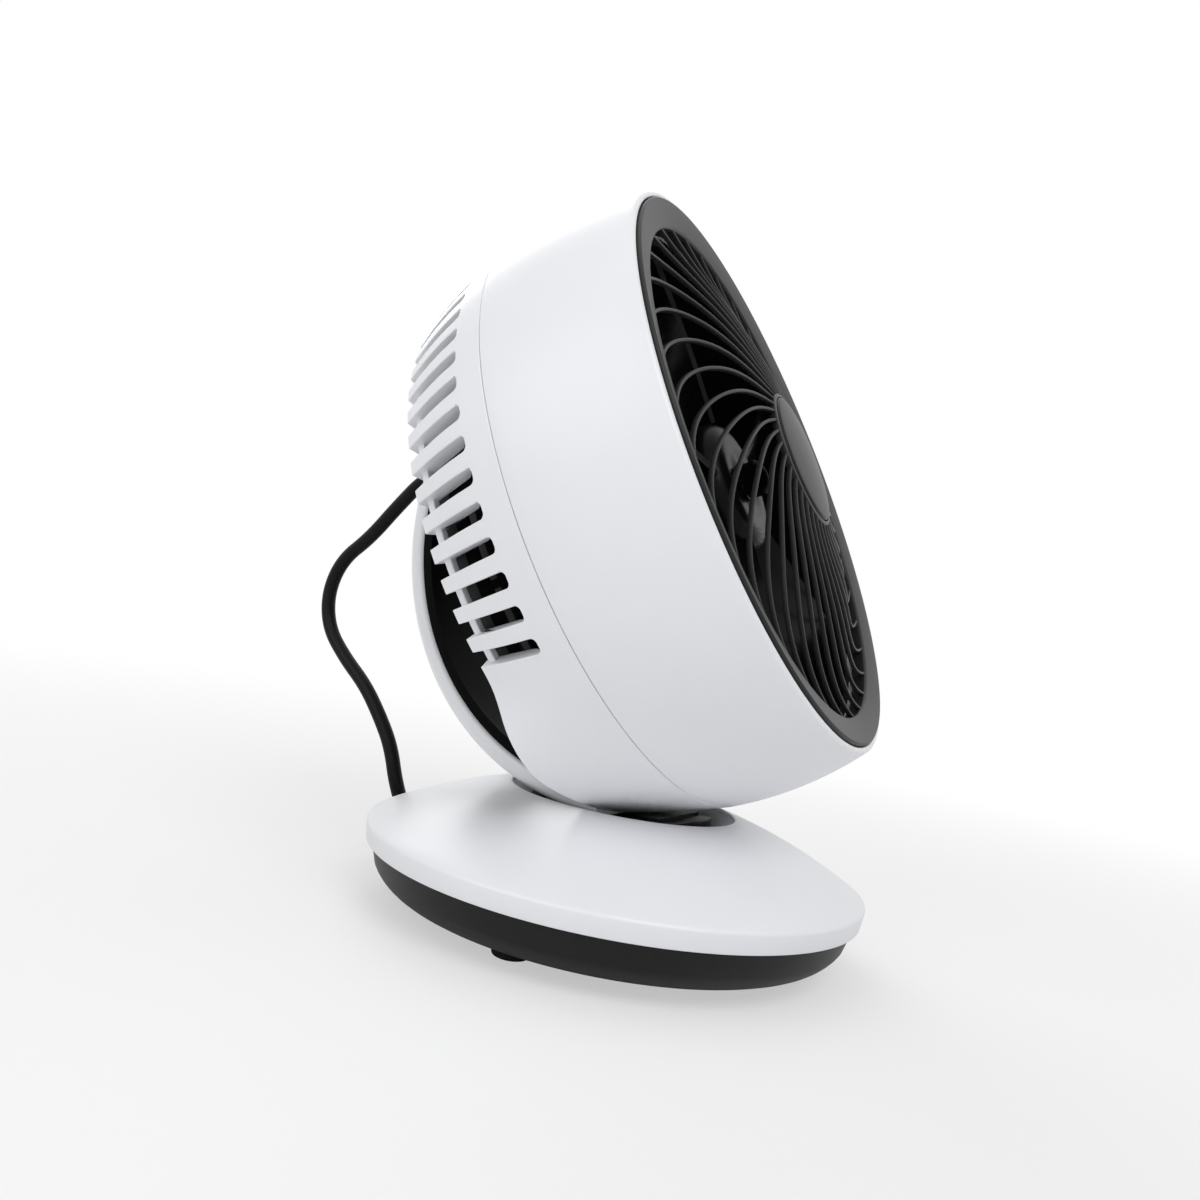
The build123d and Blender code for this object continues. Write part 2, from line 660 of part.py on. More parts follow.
with BuildPart() as rear_shell:
    add(rear_outer.part)
    add(rear_inner.part, mode=Mode.SUBTRACT)
    add(rail_pad.part)
    # deep ribs round the louvres
    with BuildSketch(head_side(CHIN_ANGLE)):
        with BuildLine():
            ThreePointArc(
                (rear_radius(rib_zone) - 1, -rib_zone),
                (rear_radius((rib_zone + TAIL_DEPTH) / 2) - 1, -(rib_zone + TAIL_DEPTH) / 2),
                (TAIL_R - 1, -TAIL_DEPTH),
            )
            Polyline(
                (TAIL_R - 1, -TAIL_DEPTH),
                (TAIL_R - RIB_DEPTH, -TAIL_DEPTH),
                (rear_radius(rib_zone + RIB_DEPTH) - RIB_DEPTH, -rib_zone - RIB_DEPTH),
                (rear_radius(rib_zone) - 1, -rib_zone),
            )
        make_face()
    revolve(axis=HEAD_AXIS, revolution_arc=2 * CHIN_ANGLE)
    # tongue that closes the seam from inside
    tongue_r = SEAM_R - SHELL_WALL - SEAM_GAP
    add(revolve(ring(HEAD_SIDE, tongue_r - 2.2, tongue_r, -SEAM_DEPTH - 5, -SEAM_DEPTH + 3),
                axis=HEAD_AXIS, mode=Mode.PRIVATE))
    # lugs on the screw bosses
    with BuildSketch(head_plane(rear_start)):
        with PolarLocations(boss_circle_r + 4, 4, start_angle=45):
            Rectangle(14, 2 * SCREW_BOSS_R + 1)
    extrude(amount=-SHELL_WALL)
    with BuildSketch(head_plane(rear_start)):
        with PolarLocations(boss_circle_r, 4, start_angle=45):
            Circle(SCREW_R + FIT)
    extrude(amount=-SHELL_WALL, mode=Mode.SUBTRACT)
    # the rail's channel and slot in the chin
    with BuildSketch(spine_plane(RAIL_LOW_ANGLE)):
        with Locations((0, rail_r - 6)):
            Rectangle(2 * (SHOE_HALF_WIDTH + FIT + 0.6), 12)
    revolve(axis=PIVOT_AXIS, revolution_arc=rail_arc, mode=Mode.SUBTRACT)
    with BuildSketch(spine_plane(slot_low)):
        with Locations((0, SPINE_R)):
            Rectangle(2 * SLOT_HALF_WIDTH, 4 * SPINE_WALL)
    revolve(axis=PIVOT_AXIS, revolution_arc=-86 - slot_low, mode=Mode.SUBTRACT)
    # louvres
    louvre_angles = [LOUVRE_PITCH * (i - (LOUVRE_COUNT - 1) / 2) for i in range(LOUVRE_COUNT)]
    with BuildSketch(*[head_ray(a).offset(TAIL_R - 2 * RIB_DEPTH) for a in louvre_angles]):
        with Locations(((LOUVRE_DEPTH + TAIL_DEPTH) / 2 + 5, 0)):
            RectangleRounded(TAIL_DEPTH - LOUVRE_DEPTH + 10, LOUVRE_WIDTH, LOUVRE_CORNER_R)
    extrude(amount=6 * RIB_DEPTH, mode=Mode.SUBTRACT)
    # thin ring that ties the ribs together near their tips
    tie_out = rear_radius(TIE_DEPTH) - TIE_SINK
    tie_in = rear_radius(TIE_DEPTH) - RIB_DEPTH
    add(revolve(ring(head_side(CHIN_ANGLE), tie_in, tie_out, -TIE_DEPTH - TIE_WIDTH, -TIE_DEPTH),
                axis=HEAD_AXIS, revolution_arc=2 * CHIN_ANGLE, mode=Mode.PRIVATE))
save(rear_shell.part, "rear_shell")

with BuildPart() as shell_screws:
    with BuildSketch(head_plane(rear_start + SHELL_WALL)):
        with PolarLocations(boss_circle_r, 4, start_angle=45):
            Circle(SCREW_HEAD_R)
    extrude(amount=-SCREW_HEAD_HEIGHT)
    with BuildSketch(head_plane(rear_start + SHELL_WALL)):
        with PolarLocations(boss_circle_r, 4, start_angle=45):
            Circle(SCREW_R - 0.02)
    extrude(amount=SHELL_WALL + 10)
save(shell_screws.part, "shell_screws")

# ---- Grille -------------------------------------------------------------------------------

grille_ring_r = inner_lip_r - GRILLE_FIT
grille_top = -GRILLE_DISH - 0.6 + GRILLE_DOME_R - sqrt(GRILLE_DOME_R**2 - GRILLE_OPENING_R**2)


def grille_dome(radius, sink=0.0):
    """How far the grille's dome stands in front of the rim plane at a radius."""
    return grille_top - GRILLE_DOME_R + sqrt((GRILLE_DOME_R - sink) ** 2 - radius**2)


def polar(radius, angle):
    """A point on the head's face plane; the angle runs from the top towards +X."""
    return (radius * sin(radians(angle)), radius * cos(radians(angle)))


rib_end_r = GRILLE_OPENING_R + 1.2
with BuildSketch(head_plane(GRILLE_RING_DEPTH)) as rib_plan:
    for i in range(RIB_COUNT):
        turn = RIB_FIRST_ANGLE + 360 * i / RIB_COUNT
        with BuildLine():
            centre = ThreePointArc(
                polar(rib_end_r, turn),
                polar(RIB_MID_R, turn + RIB_MID_ANGLE),
                polar(GRILLE_HUB_R - 1, turn + RIB_HUB_ANGLE),
            )
        trace(centre, line_width=RIB_WIDTH)

with BuildPart() as front_grille:
    with BuildSketch(HEAD_SIDE):
        with BuildLine():
            mid_r = (rib_end_r + GRILLE_HUB_R) / 2
            ThreePointArc(
                (GRILLE_HUB_R - 1, grille_dome(GRILLE_HUB_R - 1)),
                (mid_r, grille_dome(mid_r)),
                (rib_end_r, grille_dome(rib_end_r)),
            )
            Line(
                (rib_end_r, grille_dome(rib_end_r)),
                (rib_end_r, grille_dome(rib_end_r, RIB_SECTION_DEPTH)),
            )
            ThreePointArc(
                (rib_end_r, grille_dome(rib_end_r, RIB_SECTION_DEPTH)),
                (mid_r, grille_dome(mid_r, RIB_SECTION_DEPTH)),
                (GRILLE_HUB_R - 1, grille_dome(GRILLE_HUB_R - 1, RIB_SECTION_DEPTH)),
            )
            Line(
                (GRILLE_HUB_R - 1, grille_dome(GRILLE_HUB_R - 1, RIB_SECTION_DEPTH)),
                (GRILLE_HUB_R - 1, grille_dome(GRILLE_HUB_R - 1)),
            )
        make_face()
    revolve(axis=HEAD_AXIS)
    extrude(rib_plan.sketch, amount=GRILLE_RING_DEPTH + grille_top + 2, mode=Mode.INTERSECT)
    with BuildSketch(HEAD_SIDE):
        with BuildLine():
            Polyline(
                (grille_ring_r, GAP - LEDGE_DEPTH),
                (grille_ring_r, GRILLE_PROUD - 0.5),
                (grille_ring_r - 0.5, GRILLE_PROUD),
                (GRILLE_OPENING_R + 0.6, -GRILLE_DISH),
                (GRILLE_OPENING_R, -GRILLE_DISH - 0.6),
                (GRILLE_OPENING_R, GAP - LEDGE_DEPTH),
                close=True,
            )
        make_face()
    revolve(axis=HEAD_AXIS)
    with BuildSketch(HEAD_SIDE):
        with BuildLine():
            Polyline(
                (0, grille_dome(0, RIB_SECTION_DEPTH) - 0.6),
                (GRILLE_HUB_R, grille_dome(GRILLE_HUB_R, RIB_SECTION_DEPTH) - 0.6),
                (GRILLE_HUB_R, grille_dome(GRILLE_HUB_R)),
                (CAP_R + 0.4, grille_dome(GRILLE_HUB_R) + 0.3),
                (CAP_R + 0.4, grille_dome(CAP_R) - 1.0),
                (0, grille_dome(CAP_R) - 1.0),
                close=True,
            )
        make_face()
    revolve(axis=HEAD_AXIS)
save(front_grille.part, "front_grille")

cap_back = grille_dome(CAP_R) - 1.0 + GAP
with BuildPart() as hub_cap:
    with BuildSketch(HEAD_SIDE):
        with BuildLine():
            cap_centre = cap_back + CAP_THICK - sqrt(CAP_CROWN_R**2 - CAP_R**2)
            Polyline((0, cap_back), (CAP_R, cap_back), (CAP_R, cap_back + CAP_THICK))
            ThreePointArc(
                (CAP_R, cap_back + CAP_THICK),
                (CAP_R / 2, cap_centre + sqrt(CAP_CROWN_R**2 - CAP_R**2 / 4)),
                (0, cap_centre + CAP_CROWN_R),
            )
            Line((0, cap_centre + CAP_CROWN_R), (0, cap_back))
        make_face()
    revolve(axis=HEAD_AXIS)
save(hub_cap.part, "hub_cap")

# ---- Duct, rear guard and motor -----------------------------------------------------------

duct_in_r = DUCT_R - DUCT_WALL
duct_front = ledge_back + GAP
with BuildPart() as inner_duct:
    revolve(ring(HEAD_SIDE, duct_in_r, DUCT_R, -DUCT_SOLID_DEPTH, -duct_front), axis=HEAD_AXIS)
    revolve(ring(HEAD_SIDE, duct_in_r, DUCT_COLLAR_R, -duct_front - 2, -duct_front), axis=HEAD_AXIS)
    bands = int((GUARD_DEPTH - DUCT_SOLID_DEPTH) / DUCT_BAND_PITCH)
    for i in range(1, bands + 1):
        low = DUCT_SOLID_DEPTH + DUCT_BAND_PITCH * i
        revolve(ring(HEAD_SIDE, duct_in_r, DUCT_R, -low, DUCT_BAND_WIDTH - low), axis=HEAD_AXIS)
    revolve(
        ring(HEAD_SIDE, duct_in_r, DUCT_R, GAP - GUARD_DEPTH, DUCT_BAND_WIDTH - GUARD_DEPTH),
        axis=HEAD_AXIS,
    )
    with BuildPart(mode=Mode.PRIVATE) as duct_bars:
        with BuildSketch(head_plane(GUARD_DEPTH - GAP)):
            with PolarLocations(duct_in_r + DUCT_WALL / 2, DUCT_BAR_COUNT):
                Rectangle(DUCT_WALL * 0.9, DUCT_BAR_WIDTH)
        extrude(amount=GUARD_DEPTH - DUCT_SOLID_DEPTH + 1)
    add(duct_bars.part)
save(inner_duct.part, "inner_duct")

seat_r = MOTOR_R + 3
guard_back = GUARD_DEPTH + GUARD_THICK
rim_in_r = DUCT_R - GUARD_RIM_WIDTH
with BuildPart() as rear_guard:
    with BuildSketch(head_plane(guard_back)):
        Circle(DUCT_R)
        Circle(rim_in_r, mode=Mode.SUBTRACT)
        for i in range(GUARD_RING_COUNT):
            ring_r = seat_r + (rim_in_r - seat_r) * (i + 1) / (GUARD_RING_COUNT + 1)
            with BuildSketch(mode=Mode.PRIVATE) as hoop:
                Circle(ring_r + GUARD_RING_WIDTH / 2)
                Circle(ring_r - GUARD_RING_WIDTH / 2, mode=Mode.SUBTRACT)
            add(hoop.sketch)
        with PolarLocations((seat_r + rim_in_r) / 2, GUARD_SPOKE_COUNT, start_angle=15):
            Rectangle(rim_in_r - seat_r + 2, GUARD_SPOKE_WIDTH)
        Circle(seat_r)
        with PolarLocations(MOTOR_SCREW_CIRCLE_R, 4):
            Circle(SCREW_R + FIT, mode=Mode.SUBTRACT)
        Circle(BUSH_R + 2, mode=Mode.SUBTRACT)
    extrude(amount=GUARD_THICK)
    with BuildSketch(spine_plane(SPINE_TOP_ANGLE + 0.1)):
        with Locations((0, (LINER_R + SPINE_R) / 2)):
            Rectangle(2 * SPINE_HALF_WIDTH - 8, SPINE_R - LINER_R)
    revolve(axis=PIVOT_AXIS, revolution_arc=6.2)
save(rear_guard.part, "rear_guard")

with BuildPart() as motor_cap:
    with BuildSketch(HEAD_SIDE):
        with BuildLine():
            Polyline(
                (0, -guard_back - 9),
                (seat_r - 8, -guard_back - 9),
                (seat_r - 1, -guard_back - 5),
                (seat_r - 1, -guard_back - GAP),
                (seat_r - 3, -guard_back - GAP),
                (seat_r - 3, -guard_back - 4.4),
                (seat_r - 9, -guard_back - 7),
                (0, -guard_back - 7),
                close=True,
            )
        make_face()
    revolve(axis=HEAD_AXIS)
    cap_edge = motor_cap.edges().filter_by(GeomType.CIRCLE).filter_by(
        lambda e: abs(e.radius - (seat_r - 8)) < 0.01
    )
    fillet(cap_edge, radius=1.5)
save(motor_cap.part, "motor_cap")

with BuildPart() as motor_screws:
    with BuildSketch(head_plane(guard_back)):
        with PolarLocations(MOTOR_SCREW_CIRCLE_R, 4):
            Circle(SCREW_HEAD_R)
    extrude(amount=-SCREW_HEAD_HEIGHT)
    with BuildSketch(head_plane(guard_back)):
        with PolarLocations(MOTOR_SCREW_CIRCLE_R, 4):
            Circle(SCREW_R - 0.02)
    extrude(amount=GUARD_THICK + MOTOR_WALL + 1)
save(motor_screws.part, "motor_screws")


def motor_can(split, end, bush_end):
    """A motor cover: a can with a bush holder, from the split to its closed end."""
    way = 1 if end > split else -1
    with BuildSketch(HEAD_SIDE) as sketch:
        with BuildLine():
            Polyline(
                (MOTOR_R, -split),
                (MOTOR_R, -end + way * MOTOR_DOME),
                (MOTOR_R - MOTOR_DOME, -end),
                (BUSH_R, -end),
                (BUSH_R, -bush_end),
                (BUSH_R + MOTOR_WALL, -bush_end),
                (BUSH_R + MOTOR_WALL, -end + way * MOTOR_WALL),
                (MOTOR_R - MOTOR_DOME - 0.5, -end + way * MOTOR_WALL),
                (MOTOR_R - MOTOR_WALL, -end + way * (MOTOR_DOME + 0.5)),
                (MOTOR_R - MOTOR_WALL, -split),
                close=True,
            )
        make_face()
    return sketch.sketch


motor_rear_depth = GUARD_DEPTH - GAP
with BuildPart() as motor_front:
    revolve(
        motor_can(MOTOR_SPLIT_DEPTH - GAP, MOTOR_FRONT_DEPTH, MOTOR_FRONT_DEPTH + BUSH_LENGTH),
        axis=HEAD_AXIS,
    )
save(motor_front.part, "motor_front_cover")

with BuildPart() as motor_rear:
    revolve(
        motor_can(MOTOR_SPLIT_DEPTH, motor_rear_depth, motor_rear_depth - BUSH_LENGTH),
        axis=HEAD_AXIS,
    )
    with BuildSketch(head_plane(motor_rear_depth)):
        with PolarLocations(MOTOR_SCREW_CIRCLE_R, 4):
            Circle(SCREW_R)
    extrude(amount=MOTOR_WALL + 1, mode=Mode.SUBTRACT)
save(motor_rear.part, "motor_rear_cover")

with BuildPart() as bushes:
    revolve(
        ring(HEAD_SIDE, SHAFT_R + 0.05, BUSH_R - 0.02,
             -MOTOR_FRONT_DEPTH - BUSH_LENGTH, -MOTOR_FRONT_DEPTH),
        axis=HEAD_AXIS,
    )
    revolve(
        ring(HEAD_SIDE, SHAFT_R + 0.05, BUSH_R - 0.02,
             -motor_rear_depth, BUSH_LENGTH - motor_rear_depth),
        axis=HEAD_AXIS,
    )
save(bushes.part, "motor_bushes")

stator_back = MOTOR_SPLIT_DEPTH + STATOR_LENGTH / 2
with BuildPart() as stator:
    with BuildSketch(head_plane(stator_back)):
        Circle(MOTOR_R - MOTOR_WALL - 0.05)
        Circle(STATOR_R - 4, mode=Mode.SUBTRACT)
        with PolarLocations((STATOR_R - 4 + STATOR_BORE_R) / 2, COIL_COUNT):
            Rectangle(STATOR_R - STATOR_BORE_R, 9)
        Circle(STATOR_BORE_R, mode=Mode.SUBTRACT)
    extrude(amount=STATOR_LENGTH)
save(stator.part, "stator")

coil_mid_r = (STATOR_R - 4 + STATOR_BORE_R) / 2
coil_span = STATOR_R - 4 - STATOR_BORE_R - 2.0
with BuildPart() as windings:
    with BuildSketch(head_plane(stator_back + 2)):
        with PolarLocations(coil_mid_r, COIL_COUNT):
            Rectangle(coil_span, 13)
            Rectangle(coil_span + 1, 9.2, mode=Mode.SUBTRACT)
    extrude(amount=STATOR_LENGTH + 4)
    for low in (stator_back + 2, stator_back - STATOR_LENGTH - 0.1):
        with BuildSketch(head_plane(low)):
            with PolarLocations(coil_mid_r, COIL_COUNT):
                Rectangle(coil_span, 10)
        extrude(amount=1.9)
save(windings.part, "windings")

# ---- Fan ----------------------------------------------------------------------------------

hub_front = BLADE_MID_DEPTH - FAN_HUB_LENGTH / 2
hub_back = BLADE_MID_DEPTH + FAN_HUB_LENGTH / 2
bore_r = SHAFT_R + 0.02


def blade_section(angle, radius, chord, pitch, sweep):
    """A blade's section at a radius: its chord leans back from the plane of the disc."""
    with BuildSketch(head_ray(angle).offset(radius)) as sketch:
        with Locations((BLADE_MID_DEPTH, sweep)):
            Rectangle(BLADE_THICK, chord, rotation=pitch)
    return sketch.sketch


with BuildPart() as impeller:
    for i in range(BLADE_COUNT):
        turn = 360 * i / BLADE_COUNT
        loft([
            blade_section(turn, FAN_HUB_R - 6, BLADE_ROOT_CHORD, BLADE_ROOT_PITCH, 0),
            blade_section(turn, (FAN_HUB_R + BLADE_TIP_R) / 2,
                          (BLADE_ROOT_CHORD + BLADE_TIP_CHORD) / 2,
                          (BLADE_ROOT_PITCH + BLADE_TIP_PITCH) / 2 - 3, 3),
            blade_section(turn, BLADE_TIP_R + 2, BLADE_TIP_CHORD, BLADE_TIP_PITCH, 9),
        ])
    with BuildSketch(head_plane(hub_back + 6)):
        Circle(BLADE_TIP_R)
        Circle(FAN_HUB_R - 1, mode=Mode.SUBTRACT)
    extrude(amount=FAN_HUB_LENGTH + 12, mode=Mode.INTERSECT)
    with BuildSketch(HEAD_SIDE):
        with BuildLine():
            Polyline(
                (bore_r, -hub_front - 3),
                (bore_r + 5, -hub_front),
                (FAN_HUB_R - 8, -hub_front),
            )
            ThreePointArc(
                (FAN_HUB_R - 8, -hub_front),
                (FAN_HUB_R - 2.4, -hub_front - 2.4),
                (FAN_HUB_R, -hub_front - 8),
            )
            Polyline(
                (FAN_HUB_R, -hub_front - 8),
                (FAN_HUB_R, -hub_back),
                (FAN_HUB_R - FAN_HUB_WALL, -hub_back),
                (FAN_HUB_R - FAN_HUB_WALL, -hub_front - 8),
                (FAN_HUB_R - 8, -hub_front - FAN_HUB_WALL),
                (bore_r + 4, -hub_front - FAN_HUB_WALL - 1),
                (bore_r + 4, -hub_back + 4),
                (bore_r, -hub_back + 4),
                (bore_r, -hub_front - 3),
            )
        make_face()
    revolve(axis=HEAD_AXIS)
save(impeller.part, "impeller")

nut_front = NUT_LENGTH - hub_front
nut_nose_r = (NUT_R**2 + NUT_NOSE**2) / (2 * NUT_NOSE)
with BuildPart() as spinner_nut:
    with BuildSketch(HEAD_SIDE):
        with BuildLine():
            Polyline(
                (0, nut_front),
                (0, nut_front - 2),
                (bore_r, nut_front - 2),
                (bore_r, GAP - hub_front),
                (NUT_R, GAP - hub_front),
                (NUT_R, nut_front - NUT_NOSE),
            )
            ThreePointArc(
                (NUT_R, nut_front - NUT_NOSE),
                (NUT_R / 2, nut_front - nut_nose_r + sqrt(nut_nose_r**2 - NUT_R**2 / 4)),
                (0, nut_front),
            )
        make_face()
    revolve(axis=HEAD_AXIS)
save(spinner_nut.part, "spinner_nut")

shaft_front = 2.2 - nut_front
with BuildPart() as shaft:
    with BuildSketch(head_plane(GUARD_DEPTH + 1)):
        Circle(SHAFT_R)
    extrude(amount=GUARD_DEPTH + 1 - shaft_front)
save(shaft.part, "shaft")

rotor_half = STATOR_LENGTH / 2 - 0.5
with BuildPart() as rotor:
    revolve(
        ring(HEAD_SIDE, SHAFT_R + 0.01, ROTOR_R,
             -MOTOR_SPLIT_DEPTH - rotor_half, rotor_half - MOTOR_SPLIT_DEPTH),
        axis=HEAD_AXIS,
    )
save(rotor.part, "motor_rotor")

# ---- Spine, liner, switch and knob --------------------------------------------------------

spine_cut = TAIL_DEPTH + SEAM_GAP
relief_way = Vector(0, cos(radians(RELIEF_DROP)), -sin(radians(RELIEF_DROP)))
relief_root = Vector(0, CORD_EXIT_Y, CORD_EXIT_Z)
gland_plane = Plane(relief_root, x_dir=(1, 0, 0), z_dir=relief_way)

with BuildPart() as spine_shell:
    with BuildSketch(spine_plane(RAIL_LOW_ANGLE + 12)):
        with BuildLine():
            half = SPINE_HALF_WIDTH
            Polyline(
                (-half, SPINE_EDGE_R),
                (-half, SPINE_R),
                (half, SPINE_R),
                (half, SPINE_EDGE_R),
                (half - SPINE_SIDE_WALL, SPINE_EDGE_R),
                (half - SPINE_SIDE_WALL, rail_r),
                (SPINE_SIDE_WALL - half, rail_r),
                (SPINE_SIDE_WALL - half, SPINE_EDGE_R),
                close=True,
            )
        face = make_face()
        corners = face.vertices().filter_by(
            lambda v: abs(abs(v.X) - half) < 0.01 and v.distance_to(PIVOT_AXIS.position) > SPINE_R
        )
        fillet(corners, radius=SPINE_FILLET)
    revolve(axis=PIVOT_AXIS, revolution_arc=SPINE_TOP_ANGLE - RAIL_LOW_ANGLE - 12)
    split(bisect_by=head_plane(spine_cut), keep=Keep.BOTTOM)
    with BuildSketch(spine_plane(RAIL_LOW_ANGLE)):
        with Locations((0, SPINE_R)):
            Rectangle(2 * SLOT_HALF_WIDTH, 4 * SPINE_WALL)
    revolve(axis=PIVOT_AXIS, revolution_arc=slot_top - RAIL_LOW_ANGLE, mode=Mode.SUBTRACT)
    with BuildSketch(spine_ray(KNOB_ANGLE, SPINE_EDGE_R)):
        Circle(KNOB_SHAFT_R + FIT)
    extrude(amount=2 * SPINE_WALL + 4, mode=Mode.SUBTRACT)
    with BuildSketch(gland_plane):
        Circle(RELIEF_FLANGE_R + 1)
    extrude(amount=-6.0)
    with BuildSketch(gland_plane):
        Circle(RELIEF_ROOT_R - 1 + GAP)
    extrude(amount=-12.0, mode=Mode.SUBTRACT)
save(spine_shell.part, "spine_shell")

liner_out_r = SPINE_EDGE_R - GAP
liner_floor_r = liner_out_r - LINER_FLOOR
switch_r = LINER_R - BOX_DEPTH + BOX_WALL + 1
with BuildPart() as spine_liner:
    with BuildSketch(spine_plane(RAIL_LOW_ANGLE + 12)):
        with BuildLine():
            half = SPINE_HALF_WIDTH
            Polyline(
                (-half, LINER_R),
                (-half, liner_out_r),
                (half, liner_out_r),
                (half, LINER_R),
                (half - LINER_RIM, LINER_R),
                (half - LINER_RIM, liner_floor_r),
                (LINER_RIM - half, liner_floor_r),
                (LINER_RIM - half, LINER_R),
                close=True,
            )
        make_face()
    revolve(axis=PIVOT_AXIS, revolution_arc=SPINE_TOP_ANGLE - RAIL_LOW_ANGLE - 12)
    split(bisect_by=head_plane(spine_cut), keep=Keep.BOTTOM)
    with BuildSketch(spine_plane(LINER_LOW_ANGLE)):
        with Locations((0, (liner_floor_r + liner_out_r) / 2)):
            Rectangle(2 * TONGUE_HALF_WIDTH, LINER_FLOOR)
    revolve(axis=PIVOT_AXIS, revolution_arc=-84 - LINER_LOW_ANGLE)
    with BuildSketch(spine_ray(KNOB_ANGLE, LINER_R - 2)):
        Circle(KNOB_SHAFT_R + FIT)
    extrude(amount=10, mode=Mode.SUBTRACT)
    with BuildSketch(spine_ray(BOX_TOP_ANGLE - 10, LINER_R - 2)):
        Rectangle(14, 9)
    extrude(amount=10, mode=Mode.SUBTRACT)
save(spine_liner.part, "spine_liner")

box_low_r = LINER_R - BOX_DEPTH
box_high_r = liner_floor_r - GAP
with BuildPart() as switch_housing:
    with BuildSketch(spine_plane(BOX_LOW_ANGLE)):
        with Locations((0, (box_low_r + box_high_r) / 2)):
            Rectangle(2 * BOX_HALF_WIDTH, box_high_r - box_low_r)
    revolve(axis=PIVOT_AXIS, revolution_arc=BOX_TOP_ANGLE - BOX_LOW_ANGLE)
    with BuildSketch(spine_plane(BOX_LOW_ANGLE + 1.2)):
        with Locations((0, (box_low_r + box_high_r) / 2 + BOX_WALL)):
            Rectangle(2 * (BOX_HALF_WIDTH - BOX_WALL), box_high_r - box_low_r)
    revolve(
        axis=PIVOT_AXIS,
        revolution_arc=BOX_TOP_ANGLE - BOX_LOW_ANGLE - 2.4,
        mode=Mode.SUBTRACT,
    )
save(switch_housing.part, "switch_housing")

with BuildPart() as rotary_switch:
    with BuildSketch(spine_ray(KNOB_ANGLE, switch_r)):
        Rectangle(2 * SWITCH_HALF_WIDTH, SWITCH_LENGTH)
        Circle(KNOB_SHAFT_R + 0.05, mode=Mode.SUBTRACT)
    extrude(amount=sqrt(box_high_r**2 - SWITCH_LENGTH**2 / 4) - GAP - switch_r)
    with BuildSketch(spine_ray(KNOB_ANGLE, box_low_r + BOX_WALL + GAP)):
        Rectangle(2 * SWITCH_HALF_WIDTH, SWITCH_LENGTH)
    extrude(amount=switch_r - box_low_r - BOX_WALL - GAP)
save(rotary_switch.part, "rotary_switch")

knob_low_r = SPINE_R + FIT
with BuildPart() as speed_knob:
    with BuildSketch(spine_ray(KNOB_ANGLE, knob_low_r)):
        Circle(KNOB_R)
    extrude(amount=KNOB_HEIGHT, taper=4)
    top_rim = speed_knob.edges().filter_by(GeomType.CIRCLE).sort_by(Axis.Y)[-1]
    fillet(top_rim, radius=1.2)
    with BuildSketch(spine_ray(KNOB_ANGLE, switch_r + 0.5)):
        Circle(KNOB_SHAFT_R)
    extrude(amount=knob_low_r - switch_r)
save(speed_knob.part, "speed_knob")

# ---- Cord ---------------------------------------------------------------------------------

with BuildPart() as strain_relief:
    with BuildSketch(gland_plane):
        Circle(RELIEF_FLANGE_R)
    extrude(amount=1.6)
    with BuildSketch(gland_plane.offset(1.6)):
        Circle(RELIEF_ROOT_R)
    with BuildSketch(gland_plane.offset(RELIEF_LENGTH)):
        Circle(RELIEF_TIP_R)
    loft()
    with BuildSketch(gland_plane):
        Circle(RELIEF_ROOT_R - 1)
    extrude(amount=-5.0)
    with BuildSketch(gland_plane.offset(-GAP)):
        Circle(CORD_D / 2 + RELIEF_BORE_FIT)
    extrude(amount=RELIEF_LENGTH + 2 * GAP, mode=Mode.SUBTRACT)
save(strain_relief.part, "strain_relief")

# Corners of the lead's route, from the gland down to the table and along it
lead_route = [
    (0, CORD_EXIT_Y, CORD_EXIT_Z),
    (0, 127.3, 169.7),
    (0, 141.5, 154.0),
    (0, 155.0, 137.3),
    (0, 169.7, 125.2),
    (0, 175.0, 108.5),
    (0, 170.3, 91.7),
    (0, 156.7, 79.2),
    (0, 140.6, 68.3),
    (0, 128.3, 55.5),
    (0, 118.9, 43.7),
    (0.5, 112.5, 27.5),
    (9.0, 109.0, 11.5),
    (24.0, 108.5, 3.4),
    (42.0, 109.0, 3.4),
    (63.0, 112.0, 3.4),
    (88.0, 111.5, 3.4),
]

layer_turns = COIL_WHOLE_TURNS + (COIL_START_ANGLE - COIL_END_ANGLE) / 360
coil_inner_r = COIL_MID_R - COIL_TURN_PITCH * layer_turns / 4
cord_z = 3.4


def coil_at(turns):
    """A point and the direction of the coil's centre line, after a number of turns."""
    angle = radians(COIL_START_ANGLE - 360 * turns)
    from_middle = turns - layer_turns / 2
    radius = coil_inner_r + COIL_TURN_PITCH * abs(from_middle)
    climb = min(max(from_middle * 2 + 0.5, 0.0), 1.0)
    height = cord_z + COIL_LAYER_PITCH * climb * climb * (3 - 2 * climb)
    slope = COIL_LAYER_PITCH * 6 * climb * (1 - climb) * 2 / (2 * pi)
    pull = COIL_TURN_PITCH / (2 * pi) * (1 if from_middle > 0 else -1)
    if abs(from_middle) < 1e-6:
        pull = 0.0
    point = Vector(COIL_X + radius * cos(angle), COIL_Y + radius * sin(angle), height)
    way = Vector(
        radius * sin(angle) + pull * cos(angle), -radius * cos(angle) + pull * sin(angle), slope
    )
    return point, way.normalized()


def biarc(start, start_way, end, end_way):
    """Two arcs that leave one point and reach the next along given directions."""
    chord = end - start
    both = start_way + end_way
    spread = 2 * (1 - start_way.dot(end_way))
    along = chord.dot(both)
    reach = (-along + sqrt(along**2 + spread * chord.dot(chord))) / spread
    middle = (start + end + (start_way - end_way) * reach) * 0.5
    middle_way = (middle - (start + start_way * reach)).normalized()
    TangentArc(start, middle, tangent=start_way)
    TangentArc(middle, end, tangent=middle_way)


